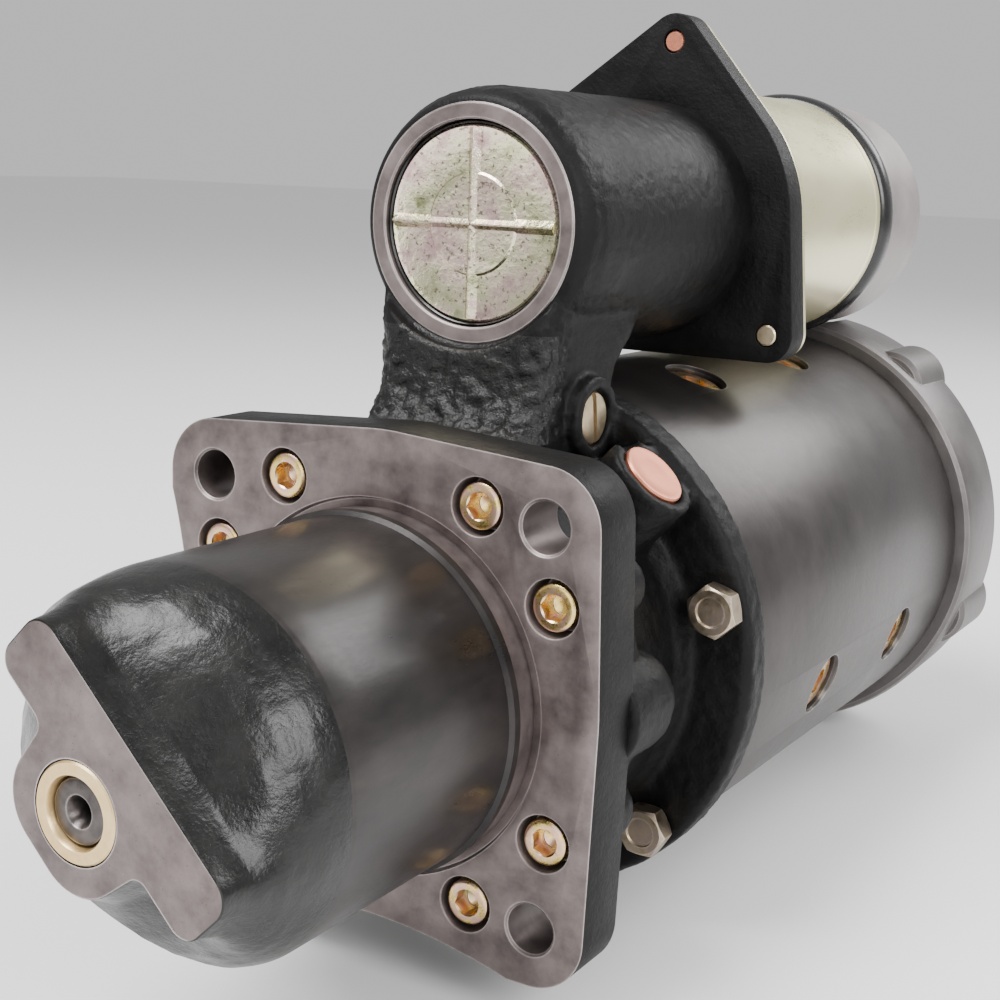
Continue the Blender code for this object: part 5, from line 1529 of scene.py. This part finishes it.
# ---------------------------------------------------------------- motor frame
@dataclass
class MotorFrame:
    """The field tube with its sunk pole screws, and the end frame."""

    radius: float = 0.0717
    bore: float = 0.0625
    front: float = 0.0763
    rear: float = 0.2542
    middle: float = 0.1710
    spacing: float = 0.0680
    poles: tuple[int, ...] = (73, -17, -107, 163)
    recess: float = 0.0093
    recess_depth: float = 0.0062
    end_radius: float = 0.0770
    end_depth: float = 0.0375
    end_angles: tuple[int, ...] = END_BOLT_ANGLES

    def build(self) -> None:
        """Make the tube, its screws and the end frame."""
        self.make_tube()
        self.make_pole_screws()
        self.make_end_frame()

    def make_tube(self) -> None:
        """Make the field tube with countersunk recesses."""
        profile = [(self.rear, self.radius - 0.0008),
                   (self.rear - 0.0004, self.radius - 0.0002),
                   (self.rear - 0.0010, self.radius),
                   (self.front + 0.0010, self.radius),
                   (self.front + 0.0003, self.radius - 0.0003),
                   (self.front, self.radius - 0.0009), (self.front, self.bore),
                   (self.rear, self.bore)]
        tube = turned("field_tube", profile, steps=256, ring=True)
        tools = []
        floor = self.radius - self.recess_depth
        for angle in self.poles:
            for side in (-1, 1):
                along = self.middle + side * self.spacing / 2
                cut = [(0.09, 0), (0.09, self.recess + 0.0006),
                       (self.radius - 0.0004, self.recess + 0.0006),
                       (self.radius - 0.0014, self.recess), (floor, self.recess),
                       (floor, 0.0058), (0.04, 0.0058), (0.04, 0)]
                tools.append((turned("pole_recess", cut, steps=72,
                                     place=radial(angle, along)), Join.CUT))
        shape(tube, tools)
        dress(tube, FRAME_GREY, Body.HOUSING, "frame_paint", "field_frame")

    def make_pole_screws(self) -> None:
        """Make every pole's two screws; the first four are CAD nodes."""
        sites = [(angle, side) for angle in self.poles for side in (-1, 1)]
        for number, (angle, side) in enumerate(sites, 1):
            along = self.middle + side * self.spacing / 2
            place = radial(angle, along)
            seat = self.radius - self.recess_depth + 0.0003
            top = seat + 0.0038
            profile = [(top, 0), (top, 0.0076), (top - 0.0004, 0.0086),
                       (top - 0.0012, 0.0090), (seat, 0.0090), (seat, 0.0056),
                       (0.0515, 0.0056), (0.0515, 0)]
            screw = turned(f"pole_screw_head_{number}", profile, steps=64, place=place)
            shape(screw, [(slab("key", hexagon(0.008), top - 0.0028, top + 0.002,
                                place=place), Join.CUT)])
            nodes = (f"pole_screw_{number}",) if number <= CAD_POLE_SCREWS else ()
            dress(screw, ZINC_SCREW, Body.HOUSING, "zinc", *nodes)

    def make_end_frame(self) -> None:
        """Make the end frame with its bolt lobes and the solenoid relief."""
        front = self.rear + 0.0003
        rear = front + self.end_depth
        floor = rear - 0.0065
        radius = self.end_radius
        profile = [(rear, 0), (rear, radius - 0.0052), (rear - 0.0006, radius - 0.0030),
                   (rear - 0.0022, radius - 0.0012), (rear - 0.0050, radius - 0.0004),
                   (front + 0.0030, radius), (front + 0.0010, radius - 0.0006),
                   (front, radius - 0.0020), (front, 0)]
        cup = turned("end_cover", profile, steps=224)
        tools = []
        for angle in self.end_angles:
            place = on_circle(END_BOLT_CIRCLE, angle)
            lobe = [(rear - 0.0008, 0), (rear - 0.0008, 0.0118), (rear - 0.002, 0.0130),
                    (front + 0.0080, 0.0130), (front + 0.0060, 0.0115),
                    (front + 0.0060, 0)]
            tools.append((turned("lobe", lobe, place, steps=72), Join.ADD))
        inner = self.bore + 0.0005
        tools.append((turned("hollow", [(floor, 0), (floor, inner),
                                        (front - 0.01, inner), (front - 0.01, 0)],
                             steps=192), Join.CUT))
        tools.append((rod("cap_relief", 0.0412, front - 0.01, rear + 0.03,
                          (0, 0, SOLENOID_HEIGHT), steps=160), Join.CUT))
        tools.append((rod("hub", 0.0160, 0.2665, floor + 0.001, steps=64), Join.ADD))
        tools.append((rod("hub_bore", 0.0122, 0.25, floor, steps=64), Join.CUT))
        tools.append((turned("hub_cap", [(rear + 0.0024, 0), (rear + 0.0024, 0.0140),
                                         (rear + 0.0012, 0.0160),
                                         (rear - 0.001, 0.0166), (rear - 0.001, 0)],
                             steps=96), Join.ADD))
        shape(cup, tools)
        chamfer(cup, 0.0007, 2, 55)
        dress(cup, END_GREY, Body.HOUSING, "frame_paint", "end_frame", smooth=35)


# ------------------------------------------------------------------- solenoid
@dataclass
class Solenoid:
    """The zinc case, rubber ring, moulded cap, studs and plate screws."""

    height: float = SOLENOID_HEIGHT
    front: float = 0.1480
    flange: float = 0.0030
    radius: float = 0.0405
    rear: float = 0.2380
    ears: tuple[float, ...] = EAR_ANGLES

    def build(self) -> None:
        """Make the solenoid's outside."""
        self.make_case()
        self.make_gasket()
        self.make_cap()
        self.make_plate_screws()

    def make_case(self) -> None:
        """Make the case with its flange."""
        over = (0, 0, self.height)
        points = circle((0, 0), 0.0469, 160)
        for angle in self.ears:
            points += circle(polar(EAR_CIRCLE, math.radians(angle)), 0.0076, 64)
        floor = 0.0747 - self.height
        outline = hull([(across, max(up, floor)) for across, up in points])
        flange = slab("case_flange", flipped(outline), self.front,
                      self.front + self.flange, over)
        can = [(self.rear, 0.0370), (self.rear, self.radius - 0.0006),
               (self.rear - 0.0006, self.radius),
               (self.rear - 0.0040, self.radius),
               (self.rear - 0.0044, self.radius - 0.00025),
               (self.rear - 0.0052, self.radius - 0.00025),
               (self.rear - 0.0056, self.radius),
               (self.front + self.flange + 0.0016, self.radius),
               (self.front + self.flange + 0.0004, self.radius + 0.0004),
               (self.front + 0.001, self.radius + 0.0012),
               (self.front + 0.001, 0.0370)]
        tools = [(rod("ear_hole", EAR_HOLE, 0.13, 0.16,
                      on_circle(EAR_CIRCLE, angle, self.height), steps=40), Join.CUT)
                 for angle in self.ears]
        tools.append((rod("case_bore", 0.0208, 0.13, 0.16, over, steps=96), Join.CUT))
        shape(flange, tools)
        chamfer(flange, 0.0006, 2, 50)
        dress(flange, ZINC_CASE, Body.HOUSING, "zinc", "solenoid_case")
        body = turned("case_can", can, over, steps=224, ring=True)
        dress(body, ZINC_CASE, Body.HOUSING, "zinc", "solenoid_case")

    def make_gasket(self) -> None:
        """Make the rubber ring between case and cap."""
        low = self.rear + 0.0002
        high = low + 0.0100
        profile = [(low, 0.0350), (low, 0.0398), (low + 0.0006, 0.0410),
                   (low + 0.0022, 0.0421), (low + 0.0040, 0.0425),
                   (low + 0.0060, 0.0425), (low + 0.0078, 0.0421),
                   (high - 0.0006, 0.0410), (high, 0.0398), (high, 0.0350)]
        ring = turned("rubber_ring", profile, (0, 0, self.height), steps=192,
                      ring=True)
        dress(ring, RUBBER, Body.HOUSING, "rubber", "solenoid_gasket")

    def make_cap(self) -> None:
        """Make the moulded cap and the studs with their nuts."""
        front = self.rear + 0.0103
        rear = front + 0.0370
        profile = [(rear, 0), (rear, 0.0366), (rear - 0.0008, 0.0386),
                   (rear - 0.0026, 0.0400), (rear - 0.0050, 0.0404),
                   (front + 0.0008, 0.0404), (front, 0.0398), (front, 0.0359),
                   (rear - 0.006, 0.0359), (rear - 0.006, 0)]
        cap = turned("terminal_cap", profile, (0, 0, self.height), steps=192)
        tools = []
        for side in (-1, 1):
            spot = (side * 0.017, 0, self.height)
            tools.append((rod("stud_hole", 0.0053, front, rear + 0.01, spot), Join.CUT))
        wall = block("barrier", (-0.0012, rear - 0.001, self.height - 0.030),
                     (0.0012, rear + 0.0085, self.height + 0.030))
        tools.append((wall, Join.ADD))
        shape(cap, tools)
        chamfer(cap, 0.0005, 2, 50)
        dress(cap, MOULDING, Body.HOUSING, "moulding", "solenoid_cap")
        for name, side in (("battery", 1), ("motor", -1)):
            self.make_stud(name, side * 0.017, rear)

    def make_stud(self, name: str, across: float, rear: float) -> None:
        """Make one threaded stud with its nut.

        Args:
            name: the piece's name.
            across: how far to the side it stands.
            rear: the cap's rear face.
        """
        low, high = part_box(f"{name}_stud")
        radius = 0.0050
        pitch = 0.0015
        profile = [(high.y, 0), (high.y, radius - 0.0010)]
        along = high.y - 0.0010
        while along > rear + 0.0075:
            profile.append((along, radius))
            profile.append((along - pitch / 2, radius - 0.0006))
            along -= pitch
        profile += [(rear + 0.0070, radius), (rear - 0.0063, radius),
                    (rear - 0.0063, 0.0080), (low.y, 0.0080), (low.y, 0)]
        spot = (across, 0, self.height)
        stud = turned(f"{name}_terminal", profile, spot, steps=48)
        dress(stud, COPPER, Body.HOUSING, "copper", f"{name}_stud")
        place = Matrix.Translation(spot) @ Axis.Y.matrix()
        nut = slab(f"{name}_terminal_nut", hexagon(0.0190), rear + 0.0003,
                   rear + 0.0068, place=place)
        crown = [(rear + 0.0068, 0), (rear + 0.0068, 0.0090),
                 (rear + 0.0056, 0.0115), (rear + 0.0003, 0.0115), (rear + 0.0003, 0)]
        shape(nut, [(turned("nut_crown", crown, steps=64, place=place), Join.KEEP),
                    (rod("nut_bore", radius + 0.0001, rear - 0.01, rear + 0.02, spot,
                         steps=48), Join.CUT)])
        dress(nut, COPPER, Body.HOUSING, "copper", f"{name}_stud")

    def make_plate_screws(self) -> None:
        """Make the screws that hold the case to the plate."""
        for number, angle in enumerate(self.ears, 1):
            spot = on_circle(EAR_CIRCLE, angle, self.height)
            proud = 0.1384 if number == 1 else 0.1378
            profile = [(0.1512, 0), (0.1512, 0.0031), (proud + 0.0004, 0.0031),
                       (proud, 0.0027), (proud, 0)]
            screw = turned(f"plate_screw_{number}", profile, spot, steps=48)
            dress(screw, BRASS if number == 2 else COPPER, Body.HOUSING, "zinc")
            head = slab(f"plate_screw_head_{number}", hexagon(0.0085), 0.1513, 0.1548,
                        spot)
            chamfer(head, 0.0005, 2, 40)
            dress(head, ZINC_SCREW, Body.HOUSING, "zinc")


# ------------------------------------------------------ carried-over CAD nodes
@dataclass
class ReturnSpring:
    """The plunger's coil spring, which shortens as the plunger is pulled in; here it keeps the
    CAD node's shape.
    """

    joint: str = "plunger_slide"
    travel: float = 0.022490
    fixed_end: float = 0.1477
    height: float = SOLENOID_HEIGHT

    def build(self) -> None:
        """Make the spring from the CAD node's own shape."""
        node = frame["nodes"]["return_spring"]
        spring = bpy.data.objects.new("coil_spring", node.data.copy())
        spring.matrix_world = node.matrix_world.copy()
        spring.data.materials.clear()
        bpy.context.scene.collection.objects.link(spring)
        dress(spring, STEEL, Body.HOUSING, "steel", "return_spring")
        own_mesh(spring)


@dataclass
class InnerParts:
    """Finishes for the CAD nodes that keep their own shape."""

    def build(self) -> None:
        """Give every node that is shown as it stands its finish."""
        looks = {"steel": STEEL, "winding": WINDING, "copper": COPPER,
                 "bronze": BRONZE, "carbon": CARBON, "machined_iron": MACHINED,
                 "black_iron": CASTING, "zinc": ZINC_SCREW, "rubber": RUBBER,
                 "moulding": MOULDING, "frame_paint": FRAME_GREY}
        slots = {entry["node"]: entry["material_slot"]
                 for entry in frame["record"]["subparts"]}
        for name, node in frame["nodes"].items():
            finish = looks[slots[name]]
            for index in range(len(node.material_slots)):
                node.material_slots[index].material = finish.material()


# --------------------------------------------------------------------- studio
@dataclass
class Studio:
    """The pale floor, the soft lights and the camera."""

    floor: float = -0.0776
    eye: tuple[float, float, float] = (0.23335, -0.32577, 0.13130)
    azimuth: float = math.radians(31.286)
    elevation: float = math.radians(11.601)
    roll: float = math.radians(1.943)
    lens: float = 59.815

    def build(self) -> None:
        """Make the floor, world, lights and camera."""
        self.make_floor()
        self.make_world()
        self.add_light("key", (-0.35, -0.55, 1.35), 42, 0.8, (0, 0, 0.04))
        self.add_light("fill", (1.35, -0.45, 0.75), 24, 0.8, (0, 0.05, 0.02))
        self.add_light("front", (0.15, -1.45, 0.25), 7, 0.9, (0, 0, 0))
        self.add_light("rim", (0.6, 1.3, 1.0), 18, 0.8, (0, 0.1, 0.05))
        self.make_camera()

    def make_floor(self) -> None:
        """Make a plain pale floor."""
        work = bmesh.new()
        bmesh.ops.create_grid(work, x_segments=1, y_segments=1, size=8)
        ground = add_object("floor", work, Matrix.Translation((0, 0, self.floor)))
        material = bpy.data.materials.new("pale_floor")
        material.use_nodes = True
        shader = material.node_tree.nodes["Principled BSDF"]
        shader.inputs["Base Color"].default_value = (0.86, 0.86, 0.86, 1)
        shader.inputs["Roughness"].default_value = 0.9
        ground.data.materials.append(material)

    def make_world(self) -> None:
        """Light the scene evenly from a white surround."""
        world = bpy.data.worlds.new("studio")
        world.use_nodes = True
        sky = world.node_tree.nodes["Background"]
        sky.inputs["Color"].default_value = (1, 1, 1, 1)
        sky.inputs["Strength"].default_value = 0.65
        bpy.context.scene.world = world

    def add_light(self, name: str, place: tuple, power: float, size: float,
                  target: tuple) -> None:
        """Add one soft square light that faces a point.

        Args:
            name: the piece's name.
            place: a placement used instead of centre and axis.
            power: watts.
            size: the width of the marks.
            target: the point it faces.
        """
        light = bpy.data.lights.new(name, "AREA")
        light.energy = power
        light.size = size
        holder = bpy.data.objects.new(name, light)
        holder.location = place
        way = Vector(target) - Vector(place)
        holder.rotation_euler = way.to_track_quat("-Z", "Y").to_euler()
        bpy.context.scene.collection.objects.link(holder)

    def make_camera(self) -> None:
        """Set the camera in its place, turned by azimuth, elevation and roll."""
        camera = bpy.data.cameras.new("camera")
        camera.lens = self.lens
        camera.sensor_width = 36
        camera.clip_start = 0.01
        holder = bpy.data.objects.new("camera", camera)
        side, up = math.sin(self.azimuth), math.cos(self.azimuth)
        back = Vector((side * math.cos(self.elevation),
                       -up * math.cos(self.elevation), math.sin(self.elevation)))
        right = Vector((up, side, 0))
        above = back.cross(right)
        turn_right = math.cos(self.roll) * right + math.sin(self.roll) * above
        turn_up = -math.sin(self.roll) * right + math.cos(self.roll) * above
        frame_ = Matrix((turn_right, turn_up, back)).transposed().to_4x4()
        holder.matrix_world = Matrix.Translation(self.eye) @ frame_
        bpy.context.scene.collection.objects.link(holder)
        bpy.context.scene.camera = holder


def main() -> None:
    """Build every sub-assembly in order."""
    logging.basicConfig(level=logging.INFO)
    for assembly in (Studio(), PinionHousing(), FlangeScrews(), NoseBearing(),
                     LeverHousing(), FrontFittings(), HexBolts(), MotorFrame(),
                     Solenoid(), ReturnSpring(), InnerParts()):
        assembly.build()
        LOG.info("made %s", type(assembly).__name__)


if __name__ == "__main__":
    main()
